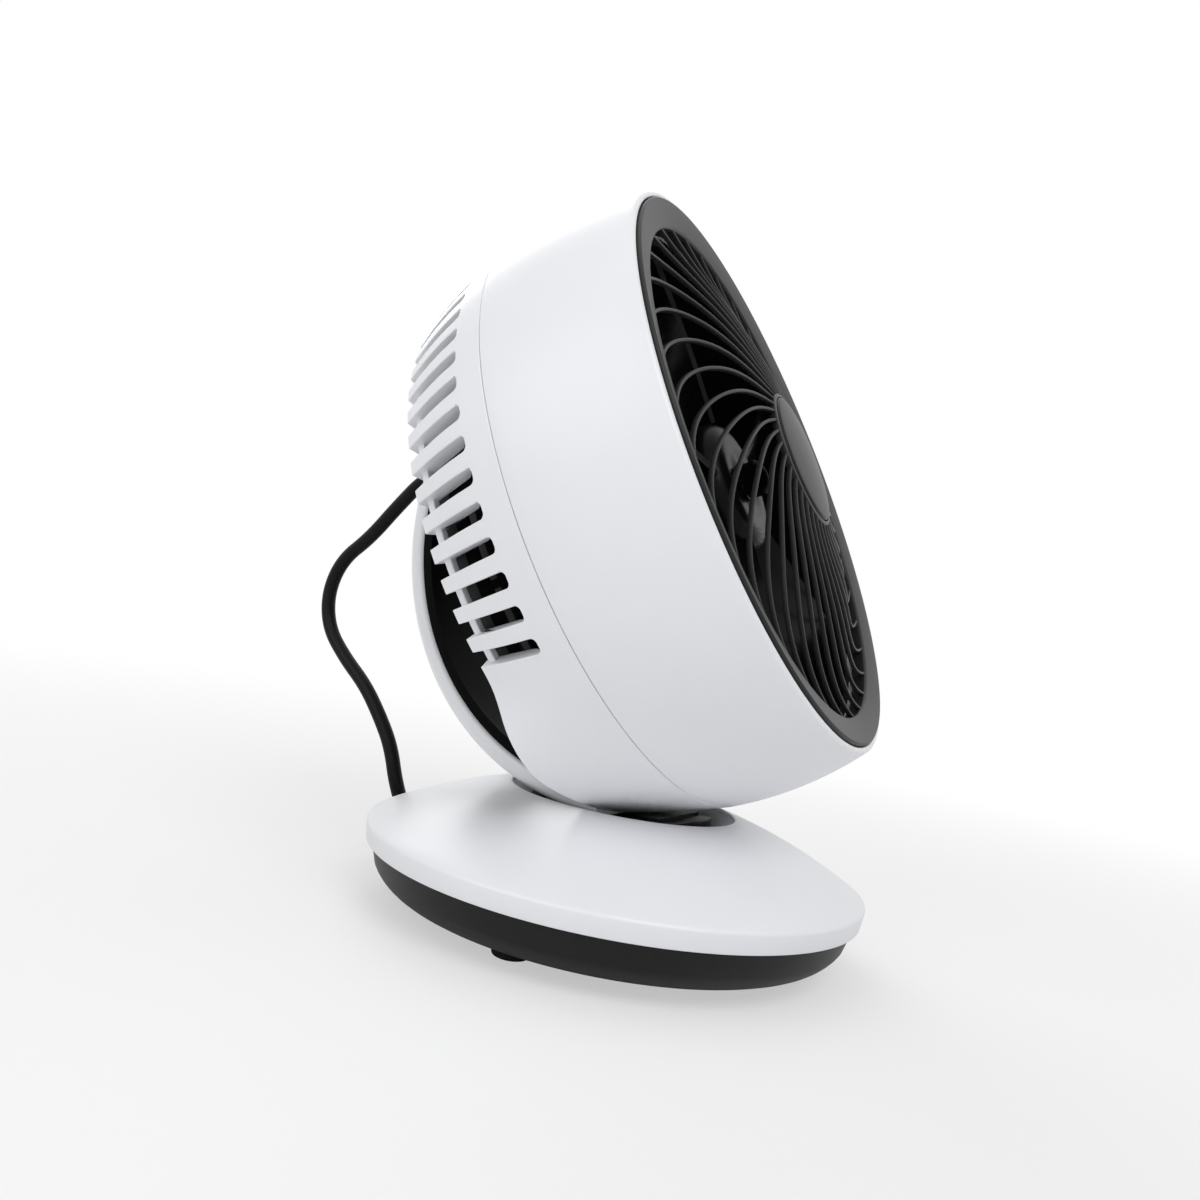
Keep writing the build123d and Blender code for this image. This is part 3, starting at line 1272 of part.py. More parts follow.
quarter_count = ceil(layer_turns * 4)
coil_steps = [layer_turns * i / quarter_count for i in range(quarter_count + 1)]
coil_points = [coil_at(t) for t in coil_steps]
coil_start, coil_start_way = coil_points[0]
coil_end, coil_end_way = coil_points[-1]
tail = CORD_D * 3.8

lead_route.append(tuple(coil_start - coil_start_way * 20))
lead_route.append(tuple(coil_start - coil_start_way * CORD_D))
corners = [Vector(*p) for p in lead_route]
runs = [(b - a).length for a, b in zip(corners, corners[1:])]
turns = [
    (b - a).get_angle(c - b) for a, b, c in zip(corners, corners[1:], corners[2:])
]
radii = [
    min(900.0, 0.45 * min(r0, r1) / tan(radians(max(turn, 0.5) / 2)))
    for r0, r1, turn in zip(runs, runs[1:], turns)
]
print("lead corner radii:", [round(r, 1) for r in radii])

with BuildPart() as cord_lead:
    with BuildLine() as lead_line:
        FilletPolyline(*lead_route, radius=radii)
    with BuildSketch(Plane(corners[0], z_dir=corners[1] - corners[0])):
        Circle(CORD_D / 2)
    sweep()
lead_length = lead_line.wire().length
print("lead length:", round(lead_length, 1))
print("lead volume over section times length:",
      round(cord_lead.part.volume / (pi * (CORD_D / 2) ** 2 * lead_length), 4))
save(cord_lead.part, "cord_lead")

with BuildPart() as cord_coil:
    with BuildLine() as coil_line:
        Line(coil_start - coil_start_way * CORD_D, coil_start)
        for (p0, w0), (p1, w1) in zip(coil_points, coil_points[1:]):
            biarc(p0, w0, p1, w1)
        Line(coil_end, coil_end + coil_end_way * tail)
    with BuildSketch(Plane(coil_start - coil_start_way * CORD_D, z_dir=coil_start_way)):
        Circle(CORD_D / 2)
    sweep()
coil_length = coil_line.wire().length
fine = [coil_line.wire() @ (i / 900) for i in range(901)]
step_length = coil_length / 900
apart = int(3 * CORD_D / step_length)
least = min(
    (fine[i] - fine[j]).length for i in range(0, 901, 2) for j in range(i + apart, 901, 2)
)
print("coil length:", round(coil_length, 1), "whole cord:", round(coil_length + lead_length, 1))
print("least gap between the coil's turns:", round(least - CORD_D, 2))
save(cord_coil.part, "cord_coil")

plug_root = coil_end + coil_end_way * (tail + GAP)
plug_plane = Plane(plug_root, x_dir=coil_end_way.cross(Vector(0, 0, 1)), z_dir=coil_end_way)
with BuildPart() as plug_body:
    with BuildSketch(plug_plane):
        Circle(CORD_D / 2 + 1.4)
    with BuildSketch(plug_plane.offset(PLUG_NOSE)):
        Circle(PLUG_HEIGHT / 2 - 3)
    loft()
    with BuildSketch(plug_plane.offset(PLUG_NOSE)):
        RectangleRounded(PLUG_WIDTH, PLUG_HEIGHT, 6)
    extrude(amount=PLUG_LENGTH)
    face_edges = plug_body.edges().filter_by(
        lambda e: abs((e.center() - plug_root).dot(coil_end_way) - PLUG_NOSE - PLUG_LENGTH) < 0.01
    )
    fillet(face_edges, radius=1.5)
save(plug_body.part, "plug_body")

with BuildPart() as plug_blades:
    with BuildSketch(plug_plane.offset(PLUG_NOSE + PLUG_LENGTH)):
        with Locations((-BLADE_PIN_SPACING / 2, 0), (BLADE_PIN_SPACING / 2, 0)):
            Rectangle(BLADE_PIN_THICK, BLADE_PIN_WIDTH)
    extrude(amount=BLADE_PIN_LENGTH)
save(plug_blades.part, "plug_blades")
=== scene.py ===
# %% [markdown]
# # An air circulator fan on a table
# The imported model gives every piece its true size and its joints. This lesson dresses it: it keeps
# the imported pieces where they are, lays new, softer-edged meshes over the ones that show, and
# gives each surface a finish. The sizes of pieces are written in millimetres and scaled once, at
# the end of each piece.

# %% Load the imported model
import json
from math import asin, atan2, cos, hypot, pi, radians, sin, sqrt

import bmesh
import bpy
from mathutils import Matrix, Vector

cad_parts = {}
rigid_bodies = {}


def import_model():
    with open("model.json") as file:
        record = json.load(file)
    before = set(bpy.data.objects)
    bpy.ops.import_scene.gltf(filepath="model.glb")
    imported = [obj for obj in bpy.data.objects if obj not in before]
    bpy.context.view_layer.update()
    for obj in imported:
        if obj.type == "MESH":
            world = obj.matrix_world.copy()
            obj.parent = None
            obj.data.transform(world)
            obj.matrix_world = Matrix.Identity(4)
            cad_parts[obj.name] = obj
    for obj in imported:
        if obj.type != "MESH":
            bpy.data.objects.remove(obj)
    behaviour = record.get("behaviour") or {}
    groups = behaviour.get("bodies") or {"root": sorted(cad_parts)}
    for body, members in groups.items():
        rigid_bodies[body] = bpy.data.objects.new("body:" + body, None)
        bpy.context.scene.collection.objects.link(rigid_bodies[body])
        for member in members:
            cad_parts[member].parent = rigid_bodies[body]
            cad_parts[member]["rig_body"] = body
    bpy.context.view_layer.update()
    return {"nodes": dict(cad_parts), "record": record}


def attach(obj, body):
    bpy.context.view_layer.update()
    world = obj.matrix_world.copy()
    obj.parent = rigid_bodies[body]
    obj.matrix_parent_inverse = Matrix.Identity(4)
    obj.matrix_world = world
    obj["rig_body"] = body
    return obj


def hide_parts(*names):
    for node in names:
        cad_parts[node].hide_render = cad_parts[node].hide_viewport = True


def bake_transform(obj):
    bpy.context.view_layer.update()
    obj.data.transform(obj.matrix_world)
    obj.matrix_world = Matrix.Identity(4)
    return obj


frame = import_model()
nodes = frame["nodes"]
MM = 0.001


def in_scene(name, data):
    """A new object that shows the data, linked into the scene."""
    made = bpy.data.objects.new(name, data)
    bpy.context.scene.collection.objects.link(made)
    return made


# %% [markdown]
# ## The camera
# The photograph was taken low and close, with the camera rolled ten degrees, so the level table
# looks tilted. The place and the angles were found by fitting the base's ellipses and the rim of
# the head. A Track To constraint could aim a camera but not roll it, so this one is written as
# three angles, a place and a lens.

# %% Camera
VIEW_AZIMUTH, VIEW_ELEVATION, VIEW_ROLL = radians(-61.666), radians(-3.106), radians(10.057)
VIEW_PLACE = Vector((-332.0, -153.3, 103.5)) * MM
LENS, SENSOR = 27.498, 36.0

back = Vector((
    sin(VIEW_AZIMUTH) * cos(VIEW_ELEVATION),
    -cos(VIEW_AZIMUTH) * cos(VIEW_ELEVATION),
    sin(VIEW_ELEVATION),
))
level_right = (-back).cross(Vector((0, 0, 1))).normalized()
level_up = level_right.cross(-back)
right = level_right * cos(VIEW_ROLL) + level_up * sin(VIEW_ROLL)
up = level_up * cos(VIEW_ROLL) - level_right * sin(VIEW_ROLL)

camera_data = bpy.data.cameras.new("camera")
camera_data.lens, camera_data.sensor_width = LENS, SENSOR
camera_data.clip_start, camera_data.clip_end = 0.01, 20.0
camera = in_scene("camera", camera_data)
facing = Matrix((right, up, back)).transposed().to_4x4()
camera.matrix_world = Matrix.Translation(VIEW_PLACE) @ facing
bpy.context.scene.camera = camera
print("camera at", tuple(round(c, 3) for c in VIEW_PLACE))

# %% [markdown]
# ## Writing materials as sums
# A finish is a few noises mixed into colour, roughness and bump. Wiring each Math node by hand
# hides what is meant, so `Signal` wraps a socket and lets Python's operators add the Math nodes,
# and every other node comes from `Wiring.node`. The world and the materials share both.


# %% Signals and wiring
class Signal:
    """A value that changes over a surface; sums with it add Math nodes."""

    def __init__(self, wiring, socket):
        self.wiring, self.socket = wiring, socket

    def maths(self, operation, other):
        made = self.wiring.node("ShaderNodeMath", {"operation": operation}, {0: self, 1: other})
        return Signal(self.wiring, made.outputs[0])

    def __add__(self, other):
        return self.maths("ADD", other)

    def __mul__(self, other):
        return self.maths("MULTIPLY", other)

    __radd__, __rmul__ = __add__, __mul__


class Wiring:
    """A node tree, and the one way to add nodes to it."""

    def __init__(self, tree):
        self.tree = tree

    def node(self, kind, settings=None, sockets=None):
        """Adds a node: its settings first, then the values or links of its sockets."""
        made = self.tree.nodes.new(kind)
        for key, value in (settings or {}).items():
            if key == "stops":
                for stop, (place, colour) in zip(made.color_ramp.elements, value):
                    stop.position, stop.color = place, (*colour, 1)
            else:
                setattr(made, key, value)
        for key, value in (sockets or {}).items():
            if isinstance(value, Signal):
                self.tree.links.new(value.socket, made.inputs[key])
            else:
                made.inputs[key].default_value = value
        return made

    def signal(self, output, kind, settings=None, sockets=None):
        """Adds a node and takes one of its outputs."""
        return Signal(self, self.node(kind, settings, sockets).outputs[output])


print("signals and wiring ready")

# %% [markdown]
# A material is a Principled shader with a few nodes before it. `Paint` starts one and places
# every pattern by the object's own coordinates. Those are in metres, so a grain has its true
# size on each piece, and they stay with the piece when it moves.


# %% Paint
class Paint(Wiring):
    """One material: a Principled shader and the nodes that feed it."""

    def __init__(self, name, constants):
        self.material = bpy.data.materials.new(name)
        self.material.use_nodes = True
        super().__init__(self.material.node_tree)
        self.shader = self.tree.nodes["Principled BSDF"]
        for socket, value in constants.items():
            self.shader.inputs[socket].default_value = value
        self.place = self.signal("Object", "ShaderNodeTexCoord")

    def noise(self, scale, detail, stretch=(1, 1, 1)):
        """A noise with its grain `1 / scale` metres across, drawn out where stretch is small."""
        mapped = self.signal(0, "ShaderNodeMapping", {}, {"Vector": self.place, "Scale": stretch})
        return self.signal("Fac", "ShaderNodeTexNoise", {},
                           {"Vector": mapped, "Scale": scale, "Detail": detail})

    def colours(self, signal, stops):
        """Turns a signal into a colour between two stops."""
        return self.signal("Color", "ShaderNodeValToRGB", {"stops": stops}, {"Fac": signal})

    def feed(self, socket, signal):
        self.tree.links.new(signal.socket, self.shader.inputs[socket])

    def bump(self, height, depth):
        """Raises the surface by up to `depth` metres where the height is 1."""
        sockets = {"Height": height, "Distance": depth}
        self.feed("Normal", self.signal(0, "ShaderNodeBump", {}, sockets))


print("paint ready")

# %% [markdown]
# Moulded plastic is never one flat colour. The mould's fine grain breaks up its reflections, and
# its gloss and colour drift a little from place to place. A picture of the grain would show
# where it repeats, so two noises give both.

# %% Moulded plastic
CLOUD_SCALE, CLOUD_GLOSS, GRAIN_GLOSS = 22, 0.07, 0.03


def shade(colour, factor):
    """A lighter or darker version of a colour."""
    return tuple(min(1.0, c * factor) for c in colour)


def moulded(name, colour, roughness, grain, depth, mottle=0.02, constants=None):
    """Moulded plastic: a fine spark-eroded grain, faint clouds in gloss and colour."""
    paint = Paint(name, constants or {})
    cloud = paint.noise(CLOUD_SCALE, 3)
    fine = paint.noise(grain, 2)
    lowest = roughness - (CLOUD_GLOSS + GRAIN_GLOSS) / 2
    tint = paint.colours(cloud, [
        (0.3, shade(colour, 1 - mottle)), (0.7, shade(colour, 1 + mottle)),
    ])
    paint.feed("Base Color", tint)
    paint.feed("Roughness", lowest + cloud * CLOUD_GLOSS + fine * GRAIN_GLOSS)
    paint.bump(fine, depth)
    return paint.material


print("moulded plastic ready")

# %% [markdown]
# ## The finishes
# The shells are white plastic with a faint blue cast and a satin mould finish, the grille is a
# dark grey satin, and the blades behind it are glossy black. Hidden pieces get theirs too: steel,
# copper, iron, bronze and nylon all show when the fan is seen from behind or taken apart.

# %% Plastics
WHITE = (0.83, 0.84, 0.868)
BLACK = (0.007, 0.007, 0.008)
GRAPHITE = (0.019, 0.0195, 0.0205)
SOFT_SHEEN = {"Specular IOR Level": 0.22}

white_plastic = moulded("white_satin_plastic", WHITE, 0.36, 1500, 0.00001, 0.012,
                        {"Coat Weight": 0.08, "Coat Roughness": 0.25})
black_plastic = moulded("black_satin_plastic", BLACK, 0.45, 1600, 0.00003, 0.15, SOFT_SHEEN)
tray_plastic = moulded("black_base_plastic", (0.010, 0.011, 0.010), 0.4, 1300, 0.00003, 0.12,
                       SOFT_SHEEN)
graphite_plastic = moulded("graphite_satin_plastic", GRAPHITE, 0.4, 1500, 0.00002, 0.1,
                           {"Specular IOR Level": 0.2})
hub_plastic = moulded("graphite_hub_plastic", GRAPHITE, 0.33, 1500, 0.00001, 0.1,
                      {"Specular IOR Level": 0.07})
# Real black plastic, made darker and duller than the other blacks as painted shade for the shaded
# inside of the head and the spine.
painted_shade_black = moulded("black_plastic_with_painted_shade", (0.002, 0.002, 0.0022), 0.5, 1500, 0.00003, 0.1,
                       {"Specular IOR Level": 0.04})
blade_plastic = moulded("black_gloss_plastic", (0.004, 0.004, 0.0045), 0.24, 1200, 0.000003, 0.1,
                        {"Specular IOR Level": 0.1})
trim_plastic = moulded("grey_trim_plastic", (0.16, 0.165, 0.175), 0.42, 1400, 0.00002, 0.06)
nylon = moulded("natural_nylon", (0.72, 0.70, 0.64), 0.5, 500, 0.00002, 0.05,
                {"Subsurface Weight": 0.1, "Subsurface Radius": (0.002, 0.0015, 0.001)})
rubber = moulded("foot_rubber", (0.012, 0.012, 0.012), 0.7, 900, 0.00006, 0.2, SOFT_SHEEN)
print("plastics made")

# %% [markdown]
# Metal is colour, roughness and a direction. Pressed steel carries fine drawn lines, so its noise
# is drawn out along one way, and cast iron is rough and blotchy.

# %% Metals
LINE_SCALE, BLOTCH_SCALE = 900, 60
LOW_GLOSS, LINE_GLOSS, BLOTCH_GLOSS = 0.08, 0.12, 0.06


def metal(name, colour, roughness, stretch, depth):
    """Bare metal: fine lines drawn out by `stretch`, and blotches in gloss and colour."""
    paint = Paint(name, {"Metallic": 1.0})
    lines = paint.noise(LINE_SCALE, 3, stretch)
    blotch = paint.noise(BLOTCH_SCALE, 3)
    paint.feed("Base Color", paint.colours(blotch, [(0.25, shade(colour, 0.86)), (0.75, colour)]))
    paint.feed("Roughness", roughness - LOW_GLOSS + lines * LINE_GLOSS + blotch * BLOTCH_GLOSS)
    paint.bump(lines, depth)
    return paint.material


motor_steel = metal("pressed_steel", (0.55, 0.55, 0.56), 0.38, (1, 0.05, 1), 0.00001)
screw_steel = metal("zinc_plated_steel", (0.62, 0.62, 0.60), 0.3, (1, 1, 1), 0.00001)
bronze = metal("sintered_bronze", (0.50, 0.36, 0.18), 0.5, (1, 1, 1), 0.00003)
pin_brass = metal("bright_brass", (0.78, 0.62, 0.32), 0.25, (1, 1, 0.1), 0.00001)
iron = metal("cast_iron", (0.16, 0.155, 0.15), 0.62, (0.3, 0.3, 0.3), 0.0001)
print("metals made")

# %% [markdown]
# The motor's windings are hundreds of turns of varnished copper wire. Modelling each turn would
# cost far more than it shows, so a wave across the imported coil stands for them. The cord's skin
# is soft vinyl, blacker and duller than the moulded pieces.

# %% Wound copper and the cord's skin
winding = Paint("enamelled_copper", {"Metallic": 0.9, "Coat Weight": 0.7, "Coat Roughness": 0.1})
wires = winding.signal("Fac", "ShaderNodeTexWave", {"bands_direction": "Z"},
                       {"Vector": winding.place, "Scale": 900.0, "Distortion": 1.5, "Detail": 1.0})
winding.feed("Base Color", winding.colours(wires, [
    (0.1, (0.22, 0.07, 0.02)), (0.8, (0.62, 0.26, 0.1)),
]))
winding.feed("Roughness", 0.25 + wires * 0.15)
winding.bump(wires, 0.0002)
copper = winding.material

cord_skin = moulded("cord_black_vinyl", (0.004, 0.004, 0.0045), 0.38, 1100, 0.00003, 0.15,
                    {"Specular IOR Level": 0.14})
print("copper and cord skin made")

# %% [markdown]
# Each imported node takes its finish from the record's material slot, so nothing is left bare, even
# where a new piece later stands over it.

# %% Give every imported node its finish
finish_of_slot = {
    "white_shell": white_plastic, "black_plastic": black_plastic, "dark_grille": graphite_plastic,
    "fan_blades": blade_plastic, "grey_trim": trim_plastic, "foot_rubber": rubber,
    "ballast_iron": iron, "screw_steel": screw_steel, "motor_steel": motor_steel,
    "copper_wire": copper, "bush_bronze": bronze, "washer_nylon": nylon, "cord_black": cord_skin,
    "pin_brass": pin_brass,
}
slot_of_node = {s["node"]: s["material_slot"] for s in frame["record"]["subparts"]}
for name, node in nodes.items():
    node.data.materials.clear()
    node.data.materials.append(finish_of_slot[slot_of_node[name]])
nodes["base_tray"].data.materials[0] = tray_plastic
print("finishes given to", len(nodes), "nodes")

# %% [markdown]
# ## The mains cord
# A cord is one flexible line of fixed length. It leaves the gland on the spine, sags back over
# the table in the S that the photograph shows, comes down behind the base, and the rest is put
# away in a neat coil beside the plug, hidden behind the base. The line is a NURBS curve through
# the same route that the imported tube follows. Its skin is a mesh.

# %% Way from the gland to the coil
CORD_D = 6.5
GLAND = Vector((0, 102.5, 174.1))
route = [
    GLAND, Vector((0, 111.0, 172.6)), Vector((0, 127.3, 169.7)), Vector((0, 141.5, 154.0)),
    Vector((0, 155.0, 137.3)), Vector((0, 169.7, 125.2)), Vector((0, 175.0, 108.5)),
    Vector((0, 170.3, 91.7)), Vector((0, 156.7, 79.2)), Vector((0, 140.6, 68.3)),
    Vector((0, 128.3, 55.5)), Vector((0, 118.9, 43.7)), Vector((0.5, 112.5, 27.5)),
    Vector((9.0, 109.0, 11.5)), Vector((24.0, 108.5, 3.4)), Vector((42.0, 109.0, 3.4)),
    Vector((63.0, 112.0, 3.4)), Vector((88.0, 111.5, 3.4)),
]
print("points down to the table:", len(route))

# %% [markdown]
# The coil is a spiral in two layers. The lower layer winds inwards, the line climbs by one cord
# in the middle of its way, and the upper layer winds outwards again to the plug. An array of
# rings would look alike, but it wouldn't be one line with a length.

# %% Coil
COIL_CENTRE = Vector((136.0, 73.0, 3.4))
COIL_TURNS, COIL_START_ANGLE, CLIMB_TURNS = 6 + 145 / 360, 100, 0.5
COIL_MID_R, TURN_PITCH, LAYER_PITCH = 36.0, 7.2, 7.0
PER_TURN = 16
LEAD_IN, LEAD_OUT, PLUG_REACH = 20, 8, 24.7
coil_inner_r = COIL_MID_R - TURN_PITCH * COIL_TURNS / 4
outward = 1 / cos(pi / PER_TURN)  # the line runs inside its control points
steps = round(COIL_TURNS * PER_TURN)
coil = []
for i in range(steps + 1):
    gone = COIL_TURNS * i / steps
    middle = gone - COIL_TURNS / 2
    radius = (coil_inner_r + TURN_PITCH * abs(middle)) * outward
    climb = min(max(middle / CLIMB_TURNS + 0.5, 0.0), 1.0)
    height = LAYER_PITCH * climb * climb * (3 - 2 * climb)  # an eased step
    angle = radians(COIL_START_ANGLE - 360 * gone)
    coil.append(COIL_CENTRE + Vector((cos(angle) * radius, sin(angle) * radius, height)))
start_way = Vector((0.989, 0.15, 0)).normalized()
end_way = Vector((-1, -1, 0)).normalized()
route.append(coil[0] - start_way * LEAD_IN)
route += coil
route += [coil[-1] + end_way * LEAD_OUT, coil[-1] + end_way * PLUG_REACH]
print("route points:", len(route))

# %% [markdown]
# Blender can give a curve a round bevel, which makes the skin without any work on vertices. The
# same curve without a bevel gives the points of its middle line, from which the length of the
# cord is measured.


# %% Cord skin and its line
def cord_curve(name, points):
    """A smooth NURBS line with the points as its control points."""
    data = bpy.data.curves.new(name, "CURVE")
    data.dimensions = "3D"
    data.resolution_u = 8
    data.bevel_resolution = 6
    data.use_fill_caps = True
    line = data.splines.new("NURBS")
    line.points.add(len(points) - 1)
    for point, place in zip(line.points, points):
        point.co = (*(place * MM), 1)
    line.order_u = 3
    line.use_endpoint_u = True
    return in_scene(name, data)


def meshed(curve, radius):
    """The curve as a mesh: a tube of that radius, or a bare line where the radius is 0."""
    curve.data.bevel_depth = radius * MM
    bpy.context.view_layer.update()
    depsgraph = bpy.context.evaluated_depsgraph_get()
    return bpy.data.meshes.new_from_object(curve.evaluated_get(depsgraph))


def cord_mesh(name, points, radius):
    """The cord's skin as a piece, and the points that its line runs through."""
    curve = cord_curve(name + "_line", points)
    skin, bare = meshed(curve, radius), meshed(curve, 0)
    path = [tuple(v.co) for v in bare.vertices]
    bpy.data.meshes.remove(bare)
    bpy.data.objects.remove(curve)
    return in_scene(name, skin), path


cord, cord_path = cord_mesh("mains_cord", route, CORD_D / 2)
cord.data.shade_smooth()
cord.data.materials.append(cord_skin)
length = sum((Vector(a) - Vector(b)).length for a, b in zip(cord_path, cord_path[1:]))
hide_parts("cord_lead", "cord_coil")
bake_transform(cord)
print("cord length", round(length, 3))

# %% [markdown]
# ## Where the pieces stand
# Round pieces are turned about one of two lines: the upright through the base, or the head's
# axis, which leans back by its tilt. `ON_HEAD` carries a piece that was turned about Z onto the
# head, with the rim's plane at height 0 and the front facing up the axis.

# %% Two standing places
HEAD_CENTRE = Vector((0, -39.2, 182.7))
TILT_UP = radians(26.57)
FORWARD = Vector((0, -cos(TILT_UP), sin(TILT_UP)))


def stand(centre, across, along):
    """Carries Z onto `along` and X onto `across`, with the origin at `centre`."""
    side = along.cross(across)
    return Matrix.Translation(centre) @ Matrix((across, side, along)).transposed().to_4x4()


X_WAY = Vector((1, 0, 0))
ON_TABLE = Matrix.Identity(4)
ON_HEAD = stand(HEAD_CENTRE, X_WAY, FORWARD)
print("head faces", tuple(round(c, 3) for c in FORWARD))

# %% [markdown]
# Every new piece ends the same way: merge what touches, turn the faces outwards, scale to
# metres, shade smooth but keep real corners sharp, say which body it rides on, and hide the
# imported piece that it stands for.


# %% Finish a piece
def finished(bm, name, finish, crease, source):
    """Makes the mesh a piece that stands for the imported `source` and rides where it does."""
    for face in bm.faces:
        face.smooth = True
    mesh = bpy.data.meshes.new(name)
    bm.to_mesh(mesh)
    bm.free()
    if "custom_normal" in mesh.attributes:
        mesh.attributes.remove(mesh.attributes["custom_normal"])
    mesh.set_sharp_from_angle(angle=crease)
    mesh.materials.append(finish)
    piece = in_scene(name, mesh)
    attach(piece, nodes[source]["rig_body"])
    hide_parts(source)
    print(name, "faces:", len(mesh.polygons))
    return piece


NEW_CREASE, NEW_MERGE = radians(35), 0.0005


def settle(bm, name, finish, source, place=ON_TABLE):
    """Closes, turns outwards and places a piece that was drawn in millimetres."""
    bmesh.ops.remove_doubles(bm, verts=bm.verts, dist=NEW_MERGE)
    bmesh.ops.recalc_face_normals(bm, faces=bm.faces)
    bm.transform(Matrix.Scale(MM, 4) @ place)
    return finished(bm, name, finish, NEW_CREASE, source)


print("pieces can be finished")

# %% [markdown]
# A turned piece is drawn as half of its section, each corner with its own rounding, and spun
# once round. Beveling the corners of the flat drawing is cheaper than beveling the solid, and
# every edge of the finished piece then catches a thin line of light, as moulded plastic does.


# %% Turning on a lathe
def ease_corner(bm, corner, rounding, segments):
    """Rounds one corner of a flat drawing."""
    bmesh.ops.bevel(bm, geom=[corner], offset=rounding, segments=segments, profile=0.5,
                    affect="VERTICES", material=-1)


def arc(start, end, crown, count):
    """Corners between two (radius, height) points, on an arc that bulges left by `crown`."""
    run, rise = end[0] - start[0], end[1] - start[1]
    chord = hypot(run, rise)
    radius = chord * chord / (8 * crown) + crown / 2
    middle_x = (start[0] + end[0]) / 2 + rise / chord * (radius - crown)
    middle_y = (start[1] + end[1]) / 2 - run / chord * (radius - crown)
    first = atan2(start[1] - middle_y, start[0] - middle_x)
    whole = 2 * asin(chord / (2 * radius))
    angles = [first - whole * i / count for i in range(1, count)]
    return [(middle_x + radius * cos(a), middle_y + radius * sin(a), 0) for a in angles]


def turned(outline, turns=180, segments=4, bm=None):
    """Spins a closed outline of (radius, height, rounding) once about Z."""
    bm = bm or bmesh.new()
    old = set(bm.verts)
    corners = [bm.verts.new((r, 0, h)) for r, h, _ in outline]
    bm.faces.new(corners)
    for corner, (_, _, rounding) in zip(corners, outline):
        if rounding:
            ease_corner(bm, corner, rounding, segments)
    drawing = [f for f in bm.faces if f.verts[0] not in old]
    bmesh.ops.delete(bm, geom=drawing, context="FACES_ONLY")
    edges = [e for e in bm.edges if e.verts[0] not in old]
    on_axis = [e for e in edges if all(hypot(v.co.x, v.co.y) < 1e-6 for v in e.verts)]
    bmesh.ops.delete(bm, geom=on_axis, context="EDGES")
    section = [v for v in bm.verts if v not in old]
    section += [e for e in bm.edges if e.verts[0] not in old]
    bmesh.ops.spin(bm, geom=section, cent=(0, 0, 0), axis=(0, 0, 1), angle=2 * pi, steps=turns,
                   use_merge=True, use_duplicate=False)
    return bm


print("lathe ready")

# %% [markdown]
# ## The base
# The white cover is a shallow dome with a short band below its crease, and the recess for the
# neck sinks into its middle. A squashed sphere would give the dome, but not the crease or the
# wall behind it, so the whole wall is drawn as one section and turned.

# %% White cover
COVER_Z, CREASE_Z = 21.5, 28.4
COVER_RIM_R, CREASE_R, RECESS_R = 95.0, 96.0, 44.0
RECESS_DEPTH, HOLE_R = 8.0, 22.4
DOME_R, WALL, EASE_INSIDE = 197.4, 2.6, 0.6
dome_z = CREASE_Z - sqrt(DOME_R**2 - CREASE_R**2)


def dome(radius, sink=0.0):
    """Height of the cover's dome, or of its inside when it sinks by the wall."""
    return dome_z + sqrt((DOME_R - sink) ** 2 - radius**2)


recess_z = dome(RECESS_R)
floor_z = recess_z - RECESS_DEPTH
collar_r, inner_r = RECESS_R + WALL, COVER_RIM_R - WALL
outer_dome = [(r, dome(r), 0) for r in range(92, 45, -4)]
inner_dome = [(r, dome(r, WALL), 0) for r in range(50, 92, 6)]
cover = turned([
    (COVER_RIM_R, COVER_Z, 0.3), (CREASE_R, CREASE_Z, 1.0), *outer_dome, (RECESS_R, recess_z, 0.9),
    (RECESS_R, floor_z, 0), (HOLE_R, floor_z, 0), (HOLE_R, floor_z - WALL, 0),
    (collar_r, floor_z - WALL, 0), (collar_r, dome(collar_r, WALL), 0), *inner_dome,
    (inner_r, dome(inner_r, WALL) - EASE_INSIDE, 0), (inner_r, COVER_Z, 0.2),
], turns=240)
settle(cover, "base_dome", white_plastic, "base_cover")

# %% [markdown]
# Inside the recess lies a grey funnel that slopes down to the neck. The photograph shows it as a
# dark ring round the neck. It is its own piece, because it has its own grey, and it is turned
# with soft edges.

# %% Grey funnel
TRIM_R, TRIM_IN_R, TRIM_WALL, TRIM_SUNK = 43.9, 36.6, 1.6, 0.9
LOW_EDGE, LOW_EDGE_INSIDE = 2.6, 2.0
funnel = turned([
    (TRIM_R, recess_z - TRIM_SUNK, 0.4), (TRIM_IN_R, floor_z + LOW_EDGE, 0.5),
    (TRIM_IN_R, floor_z, 0), (TRIM_IN_R + TRIM_WALL, floor_z, 0),
    (TRIM_IN_R + TRIM_WALL, floor_z + LOW_EDGE_INSIDE, 0),
    (TRIM_R, recess_z - TRIM_SUNK - TRIM_WALL, 0),
], segments=3)
settle(funnel, "recess_funnel", trim_plastic, "recess_trim")

# %% [markdown]
# ## The head's front
# The front shell flares from the rim back to the seam. Its lip is a rolled edge, with a ledge
# inside that the grille sits on. A cone would look stiff here: the real side bulges by a few
# millimetres, so it is drawn as an arc, and the rim gets the largest rounding.

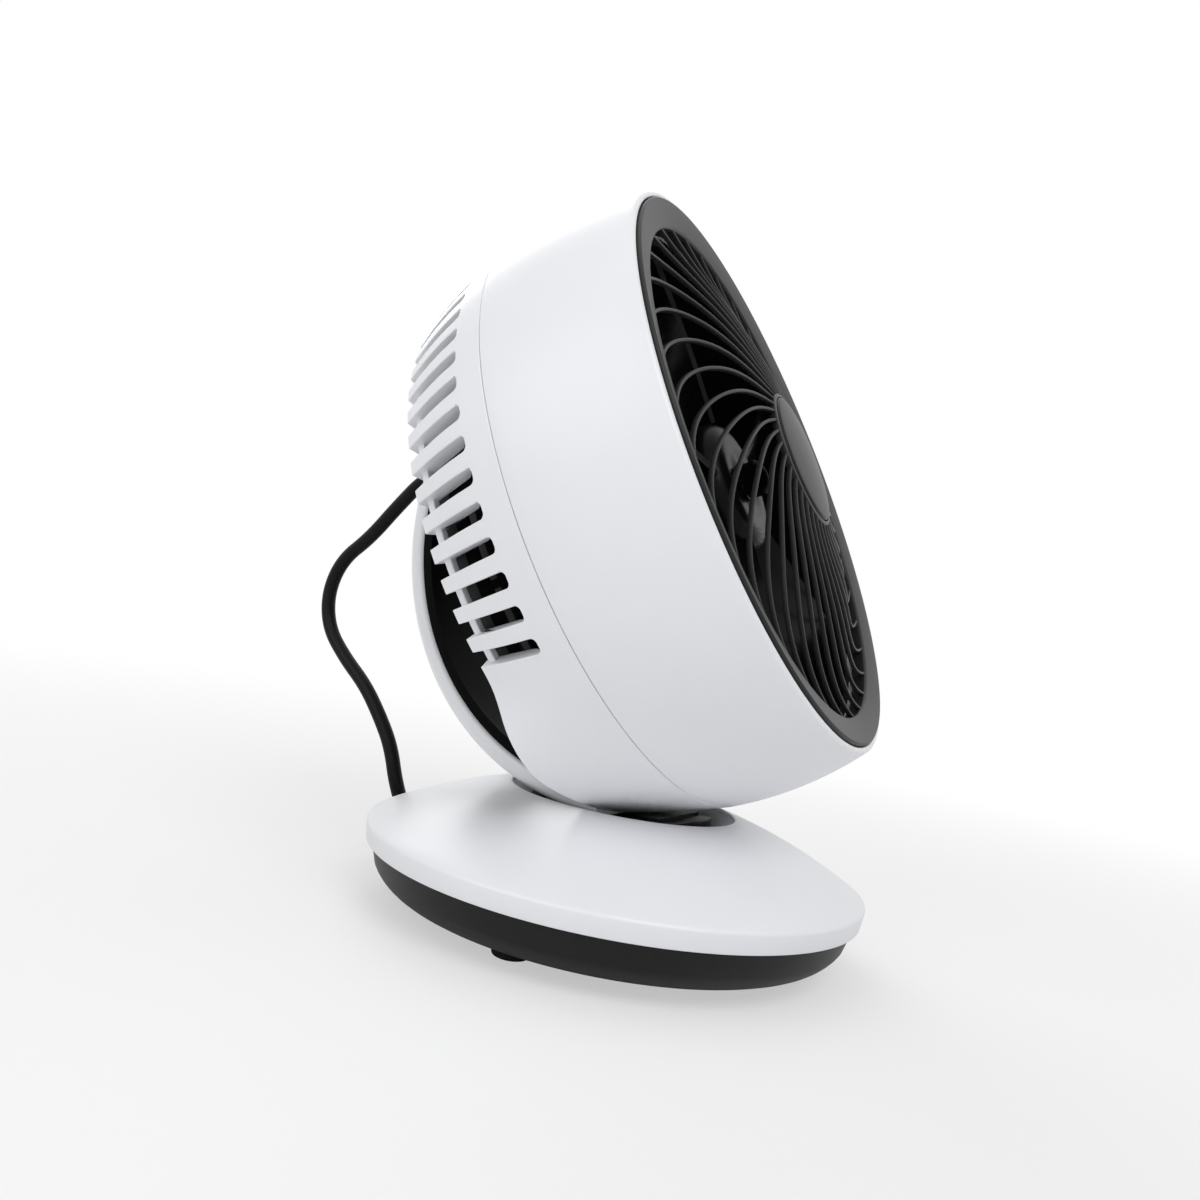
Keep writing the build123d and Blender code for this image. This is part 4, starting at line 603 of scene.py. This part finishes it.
# %% Front shell
RIM_R, SEAM_R, SEAM_DEPTH, FLARE = 110.0, 116.6, 52.2, 2.5
LEDGE_R, LEDGE_END_R, LEDGE_FRONT, LEDGE_BACK = 98.2, 109.7, -7.0, -9.0
LIP_R, SHELL_WALL = 107.9, 2.8
outside = list(reversed(arc((RIM_R, 0), (SEAM_R, -SEAM_DEPTH), FLARE, 12)))
inside = [(r - SHELL_WALL, h, 0) for r, h, _ in reversed(outside[:8])]
front_shell = turned([
    (LIP_R, 0, 0.8), (LIP_R, LEDGE_FRONT, 0.3), (LEDGE_R, LEDGE_FRONT, 0.3),
    (LEDGE_R, LEDGE_BACK, 0), (LEDGE_END_R, LEDGE_BACK, 0), *inside,
    (SEAM_R - SHELL_WALL, -SEAM_DEPTH, 0), (SEAM_R, -SEAM_DEPTH, 0.2), *outside, (RIM_R, 0, 1.2),
], turns=240)
settle(front_shell, "front_bezel", white_plastic, "front_shell", ON_HEAD)

# %% [markdown]
# ## The grille
# The grille is one dark grey moulding: a ring, thirty-five thin swirled ribs, and a plate that
# the hub cap sits in. A texture with holes would do from afar, but the ribs stand in front of
# moving blades and are seen from the side, so they are modelled. The sizes come first. Heights
# are counted from the rim's plane, as on every piece of the head.

# %% Sizes of the grille
OPENING_R, RING_R, RING_CHAMFER = 96.8, 107.6, 0.7
RING_TOP, RING_SIDE, RING_IN, RING_LOW, RING_BACK = 1.1, 0.5, -0.9, -1.6, -6.9
HUB_DOME_R, HUB_SUNK, HUB_R, CAP_R = 345.0, 1.5, 26.5, 24.6
CAP_GAP, CAP_SEAT, PLATE_EXTRA, PLATE_LIP = 0.4, 1.0, 0.6, 0.3
hub_top = HUB_DOME_R - sqrt(HUB_DOME_R**2 - OPENING_R**2) - HUB_SUNK


def bulge(radius, sink=0.0):
    """Height of the shallow dome that the hub's plate follows."""
    return hub_top - HUB_DOME_R + sqrt((HUB_DOME_R - sink) ** 2 - radius**2)


print("hub stands", round(bulge(0), 2), "mm in front of the rim")

# %% [markdown]
# The curve of the ribs was read from the photograph. Seen from the front, a rib's angle grows
# with the share of its way to the hub as a short sum of powers, and so does its rise over the
# ring. An arc of a circle was tried first, and ran beside the real ribs.

# %% The curve of a rib
RIB_OUT_R, RIB_IN_R, RIB_LOW, RIB_RISE = 97.0, 27.0, -1.64, 12.7
RIB_ANGLES = (-1.87, 60.4, -56.3, 54.2, -5.0)
RIB_SWELL = (-1.6, 4.92, -3.63)


def powers(factors, share):
    """The factors times the share's powers, from power 0 on, in one sum."""
    return sum(factor * share**power for power, factor in enumerate(factors))


def rib_point(share):
    """A place on a rib's front edge: `share` runs from the ring (0) to the hub (1)."""
    radius = RIB_OUT_R + (RIB_IN_R - RIB_OUT_R) * share
    angle = radians(powers(RIB_ANGLES, share))
    rise = share + share * (1 - share) * powers(RIB_SWELL, share)
    return Vector((radius * sin(angle), radius * cos(angle), RIB_LOW + RIB_RISE * rise))


def rib_frames(count=30, first=-0.014, last=1.02, near=0.01):
    """Places along one rib, from ring to hub: X across it, Y out of the face."""
    for i in range(count + 1):
        share = first + (last - first) * i / count
        along = (rib_point(share + near) - rib_point(share - near)).normalized()
        yield stand(rib_point(share), Vector((0, 0, 1)).cross(along).normalized(), along)


print("a rib ends", round(rib_point(1).z, 2), "mm in front of the rim")

# %% [markdown]
# One rib is drawn as a small section, rounder in front than behind, and extruded step by step
# along the curve. A curve object could carry the same section, but its twist is hard to hold
# along a path that also rises.

# %% One rib
RIB_WIDTH, RIB_DEPTH, FRONT_EASE, BACK_EASE = 1.3, 1.7, 0.55, 0.3


def rib():
    """One rib, extruded section by section along its curve."""
    bm = bmesh.new()
    half = RIB_WIDTH / 2
    section = ((-half, 0, FRONT_EASE), (half, 0, FRONT_EASE),
               (half, -RIB_DEPTH, BACK_EASE), (-half, -RIB_DEPTH, BACK_EASE))
    corners = [bm.verts.new((x, y, 0)) for x, y, _ in section]
    bm.faces.new(corners)
    for corner, (_, _, eased) in zip(corners, section):
        ease_corner(bm, corner, eased, 2)
    frames = list(rib_frames())
    bmesh.ops.transform(bm, matrix=frames[0], verts=bm.verts)
    face = bm.faces[:][0]
    for before, after in zip(frames, frames[1:]):
        made = bmesh.ops.extrude_face_region(bm, geom=[face])["geom"]
        moved = [v for v in made if isinstance(v, bmesh.types.BMVert)]
        bmesh.ops.transform(bm, matrix=after @ before.inverted(), verts=moved)
        face = next(f for f in made if isinstance(f, bmesh.types.BMFace))
    return bm


grille = rib()
print("faces of one rib:", len(grille.faces))

# %% [markdown]
# A spin with duplicates copies the rib round. The ring and the plate under the hub cap are turned
# into the same mesh, because the real grille is one moulding. The ring slopes inwards, with a
# narrow chamfer at its outer and inner edge.

# %% All ribs, the ring and the hub plate
RIB_COUNT = 35
rib_step = 2 * pi / RIB_COUNT
bmesh.ops.spin(grille, geom=grille.verts[:] + grille.edges[:] + grille.faces[:], cent=(0, 0, 0),
               axis=(0, 0, 1), angle=rib_step * (RIB_COUNT - 1), steps=RIB_COUNT - 1,
               use_merge=False, use_duplicate=True)
turned([
    (RING_R, RING_BACK, 0), (RING_R, RING_SIDE, 0.15), (RING_R - RING_CHAMFER, RING_TOP, 0.2),
    (OPENING_R + RING_CHAMFER, RING_IN, 0.3), (OPENING_R, RING_LOW, 0.3),
    (OPENING_R, RING_BACK, 0.2),
], turns=240, segments=3, bm=grille)
seat_r, seat = CAP_R + CAP_GAP, bulge(CAP_R) - CAP_SEAT
turned([
    (0, bulge(0, RIB_DEPTH) - PLATE_EXTRA, 0),
    (HUB_R, bulge(HUB_R, RIB_DEPTH) - PLATE_EXTRA, 0.3), (HUB_R, bulge(HUB_R), 0.2),
    (seat_r, bulge(HUB_R) + PLATE_LIP, 0.2), (seat_r, seat, 0), (0, seat, 0),
], turns=96, segments=3, bm=grille)
settle(grille, "swirl_grille", graphite_plastic, "front_grille", ON_HEAD)

# %% [markdown]
# The hub cap is a slightly crowned disc with a chamfer. A flat disc would mirror one even grey,
# and the crown lets the light fade across its plain face.

# %% Hub cap
CAP_SUNK, CAP_SIDE, CAP_SHOULDER, CAP_CHAMFER, CAP_CROWN = 0.9, 1.1, 1.75, 0.9, 1.3
cap_back, face_r = bulge(CAP_R) - CAP_SUNK, CAP_R - CAP_CHAMFER
shoulder = cap_back + CAP_SHOULDER
crown = [(r, shoulder + CAP_CROWN * (1 - (r / face_r) ** 2), 0) for r in (20, 15, 10, 5, 0)]
cap = turned([
    (0, cap_back, 0), (CAP_R, cap_back, 0), (CAP_R, cap_back + CAP_SIDE, 0.15),
    (face_r, shoulder, 0.2), *crown,
], turns=128, segments=3)
settle(cap, "hub_disc", hub_plastic, "hub_cap", ON_HEAD)

# %% [markdown]
# ## The speed knob
# The knob sits on the spine behind the head and can't be seen in the photograph. A plain disc
# would do, but fingers need a grip, so its circle gets shallow flutes before it is pushed up, and
# a short bar on top shows where it points.

# %% Knob
KNOB_R, KNOB_HEIGHT, KNOB_LOW_R, TOP_RISE = 13.0, 12.0, 104.9, 1.0
KNOB_POINTS, FLUTE_POINTS, FLUTED, FLUTE = 120, 5, (2, 3), 0.965
TAPER, STEM_R, STEM, STEM_IN_KNOB = 0.94, 3.0, 14.0, 0.5
TOP_STEPS = ((0.5, 0.6), (0.7, 0.25), (0.6, -0.25))
BAR_PLACE, BAR_SIZE, BAR_EDGE = (0, 7.2, 11.5), (1.4, 6.0, 0.9, 1), 0.25
PIVOT = Vector((0, -2, 149.3))
ON_KNOB = stand(PIVOT + Vector((0, KNOB_LOW_R, 0)), X_WAY, Vector((0, 1, 0)))

knob = bmesh.new()
bmesh.ops.create_circle(knob, cap_ends=True, radius=KNOB_R, segments=KNOB_POINTS)
knob.verts.ensure_lookup_table()
for i, vert in enumerate(knob.verts):
    if i % FLUTE_POINTS in FLUTED:
        vert.co *= FLUTE
grown = bmesh.ops.extrude_face_region(knob, geom=knob.faces[:])["geom"]
rim = [v for v in grown if isinstance(v, bmesh.types.BMVert)]
push = Matrix.Translation((0, 0, KNOB_HEIGHT - TOP_RISE)) @ Matrix.Diagonal((TAPER, TAPER, 1, 1))
bmesh.ops.transform(knob, matrix=push, verts=rim)
top = [f for f in grown if isinstance(f, bmesh.types.BMFace)]
for thickness, depth in TOP_STEPS:
    bmesh.ops.inset_region(knob, faces=top, thickness=thickness, depth=depth)
bar = Matrix.Translation(BAR_PLACE) @ Matrix.Diagonal(BAR_SIZE)
pointer = bmesh.ops.create_cube(knob, size=1, matrix=bar)
edges = list({e for v in pointer["verts"] for e in v.link_edges})
bmesh.ops.bevel(knob, geom=edges, offset=BAR_EDGE, segments=2, profile=0.5, affect="EDGES",
                material=-1)
bmesh.ops.create_cone(knob, cap_ends=True, segments=32, radius1=STEM_R, radius2=STEM_R, depth=STEM,
                      matrix=Matrix.Translation((0, 0, STEM_IN_KNOB - STEM / 2)))
settle(knob, "fluted_knob", black_plastic, "speed_knob", ON_KNOB)

# %% [markdown]
# ## The strain relief
# A tapered rubber sleeve keeps the cord from kinking where it leaves the spine. Its grooves let
# it bend. Cutting them from a cone would need booleans, so the section is drawn with them and
# spun round the cord.

# %% Strain relief
GLAND_DROP = radians(10)
BORE_R, ROOT_R, TIP_R, FLANGE_R, SLEEVE = 3.4, 5.6, 4.3, 7.4, 18.5
ANCHOR_R, ANCHOR_DEPTH, FLANGE, COLLAR = ROOT_R - 1, 5.0, 1.6, 1.9
GROOVES, GROOVE_START, GROOVE_PITCH, GROOVE_DEPTH = 5, 3.6, 2.9, 0.8
GROOVE_WIDTH, GROOVE_SLOPE, GROOVE_TAPER = 1.5, 0.35, 0.05
ON_GLAND = stand(GLAND, X_WAY, Vector((0, cos(GLAND_DROP), -sin(GLAND_DROP))))
grooves = []
for i in range(GROOVES):
    low = GROOVE_START + GROOVE_PITCH * i
    radius = ROOT_R - (ROOT_R - TIP_R) * low / SLEEVE
    high, floor_r = low + GROOVE_WIDTH, radius - GROOVE_DEPTH
    grooves += [(radius, low, 0.25), (floor_r, low + GROOVE_SLOPE, 0.1),
                (floor_r - GROOVE_TAPER, high - GROOVE_SLOPE, 0.1),
                (radius - GROOVE_TAPER, high, 0.25)]
sleeve = turned([
    (BORE_R, -ANCHOR_DEPTH, 0), (ANCHOR_R, -ANCHOR_DEPTH, 0.2), (ANCHOR_R, 0, 0),
    (FLANGE_R, 0, 0), (FLANGE_R, FLANGE, 0.5), (ROOT_R, COLLAR, 0.3), *grooves,
    (TIP_R, SLEEVE, 0.5), (BORE_R, SLEEVE, 0.1),
], turns=64, segments=3)
settle(sleeve, "ribbed_relief", rubber, "strain_relief", ON_GLAND)

# %% [markdown]
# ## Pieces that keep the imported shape
# The louvred back, the spine, the blades and the guard already have their true shape in the
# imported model, but as loose triangles with faceted shading. Drawing forty-five louvres again
# would gain nothing: a merged copy can be shaded smooth with its real corners kept sharp, and a
# small Bevel modifier eases those corners.

# %% Merged, softened copies
COPY_CREASE, COPY_MERGE = radians(32), 0.002
SLIVER, FLAT = 0.001, radians(0.3)


def dressed(source, name, finish, soften=0.0, clamp=True):
    """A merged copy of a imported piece, with its real corners eased by `soften` millimetres."""
    bm = bmesh.new()
    bm.from_mesh(nodes[source].data)
    bm.transform(Matrix.Scale(1 / MM, 4))
    bmesh.ops.remove_doubles(bm, verts=bm.verts, dist=COPY_MERGE)
    bmesh.ops.dissolve_degenerate(bm, edges=bm.edges, dist=SLIVER)
    if soften:
        bmesh.ops.dissolve_limit(bm, angle_limit=FLAT, verts=bm.verts, edges=bm.edges)
    bm.transform(Matrix.Scale(MM, 4))
    piece = finished(bm, name, finish, COPY_CREASE, source)
    if soften:
        eased = piece.modifiers.new("eased_edges", "BEVEL")
        eased.width, eased.segments, eased.limit_method = soften * MM, 2, "ANGLE"
        eased.angle_limit = COPY_CREASE
        eased.use_clamp_overlap = clamp
    return piece


print("copies can be made")

# %% [markdown]
# The white shells and the base get soft corners of a few tenths of a millimetre, as their moulds
# give them. Blades and guards lie in the dark behind the grille and only need smooth shading.

# %% Shells, blades and guards
dressed("rear_shell", "louvred_back", white_plastic, 0.3, clamp=False)
dressed("spine_shell", "curved_spine", white_plastic, 0.4)
# The spine's inlay, the duct and the nose nut take the black with painted shade.
dressed("spine_liner", "spine_inlay", painted_shade_black)
dressed("neck", "swivel_neck", black_plastic, 0.3)
dressed("base_tray", "base_pan", tray_plastic, 0.3)
dressed("base_feet", "round_feet", rubber)
dressed("impeller", "fan_blades", blade_plastic)
dressed("inner_duct", "air_duct", painted_shade_black)
dressed("rear_guard", "back_guard", graphite_plastic)
dressed("motor_cap", "motor_cover", black_plastic, 0.4)
dressed("spinner_nut", "nose_nut", painted_shade_black)

# %% [markdown]
# The plug ends the cord. Its two pieces, the shell and the pins, are softened copies of the
# imported plug.

# %% Plug
plug_shell = dressed("plug_body", "plug_shell", cord_skin, 0.8)
plug_pins = dressed("plug_blades", "plug_pins", pin_brass, 0.2)

print("the cord ends in", plug_shell.name, "and", plug_pins.name)

# %% [markdown]
# ## The room
# A pale floor takes the shadow near the fan and fades to pure white with distance, for the camera
# alone. The world and three broad area lamps stand in for a studio with soft boxes.

# %% Floor
FLOOR_HALF, FADE_START, FADE_END, NEAR_GLOW = 6.0, 0.22, 1.0, 0.5
floor_mesh = bpy.data.meshes.new("floor")
sheet = bmesh.new()
bmesh.ops.create_grid(sheet, x_segments=1, y_segments=1, size=FLOOR_HALF)
sheet.to_mesh(floor_mesh)
sheet.free()
floor = in_scene("floor", floor_mesh)
pale = Paint("pale_floor", {"Base Color": (0.9, 0.9, 0.9, 1), "Roughness": 0.9,
                            "Specular IOR Level": 0.0})
reach = pale.signal("Value", "ShaderNodeVectorMath", {"operation": "LENGTH"}, {0: pale.place})
fade = pale.signal("Result", "ShaderNodeMapRange", {"interpolation_type": "SMOOTHSTEP"},
                   {"Value": reach, "From Min": FADE_START, "From Max": FADE_END,
                    "To Min": NEAR_GLOW, "To Max": 1.0})
glow = pale.signal(0, "ShaderNodeEmission", {}, {"Color": (1, 1, 1, 1), "Strength": 1.0})
shown = fade * pale.signal("Is Camera Ray", "ShaderNodeLightPath")
lit = Signal(pale, pale.shader.outputs[0])
mixed = pale.signal(0, "ShaderNodeMixShader", {}, {0: shown, 1: lit, 2: glow})
pale.tree.links.new(mixed.socket, pale.tree.nodes["Material Output"].inputs[0])
floor_mesh.materials.append(pale.material)
print("floor laid")

# %% [markdown]
# The world looks white to the camera, in reflections and through clear pieces, and lights the
# fan at half of that, so that the shells keep their shading.

# %% World
AMBIENT = 0.5
world = bpy.data.worlds.new("studio")
bpy.context.scene.world = world
world.use_nodes = True
sky = Wiring(world.node_tree)
background = sky.tree.nodes["Background"]
background.inputs["Color"].default_value = (1, 1, 1, 1)
rays = sky.node("ShaderNodeLightPath")
seen = Signal(sky, rays.outputs["Is Camera Ray"])
for kind in ("Is Glossy Ray", "Is Transmission Ray"):
    seen = seen.maths("MAXIMUM", Signal(sky, rays.outputs[kind]))
strength = seen * (1.0 - AMBIENT) + AMBIENT
sky.tree.links.new(strength.socket, background.inputs["Strength"])
print("world lit at", AMBIENT)

# %% [markdown]
# The key lamp stands in front, on the side of the camera, and the other two open up the shade.
# Broad discs are used and no spots, because a small lamp would draw hard shadows of the ribs.


# %% Lamps
def lamp(name, place, target, size, power):
    """A round soft box of `size` metres that faces its target."""
    light = bpy.data.lights.new(name, "AREA")
    light.shape, light.size, light.energy = "DISK", size, power
    aim = (Vector(target) - Vector(place)).to_track_quat("-Z", "Y")
    in_scene(name, light).matrix_world = Matrix.Translation(place) @ aim.to_matrix().to_4x4()


lamps = {
    "key": ((-0.9, -1.1, 1.5), (0, 0, 0.15), 1.1, 12),
    "fill": ((-1.5, 0.5, 0.9), (0, 0, 0.12), 1.4, 6),
    "back": ((1.0, 1.2, 1.3), (0, 0, 0.15), 1.2, 10),
}
for name, settings in lamps.items():
    lamp(name, *settings)
bpy.context.scene.view_settings.view_transform = "Standard"
print("lamps lit:", *lamps)
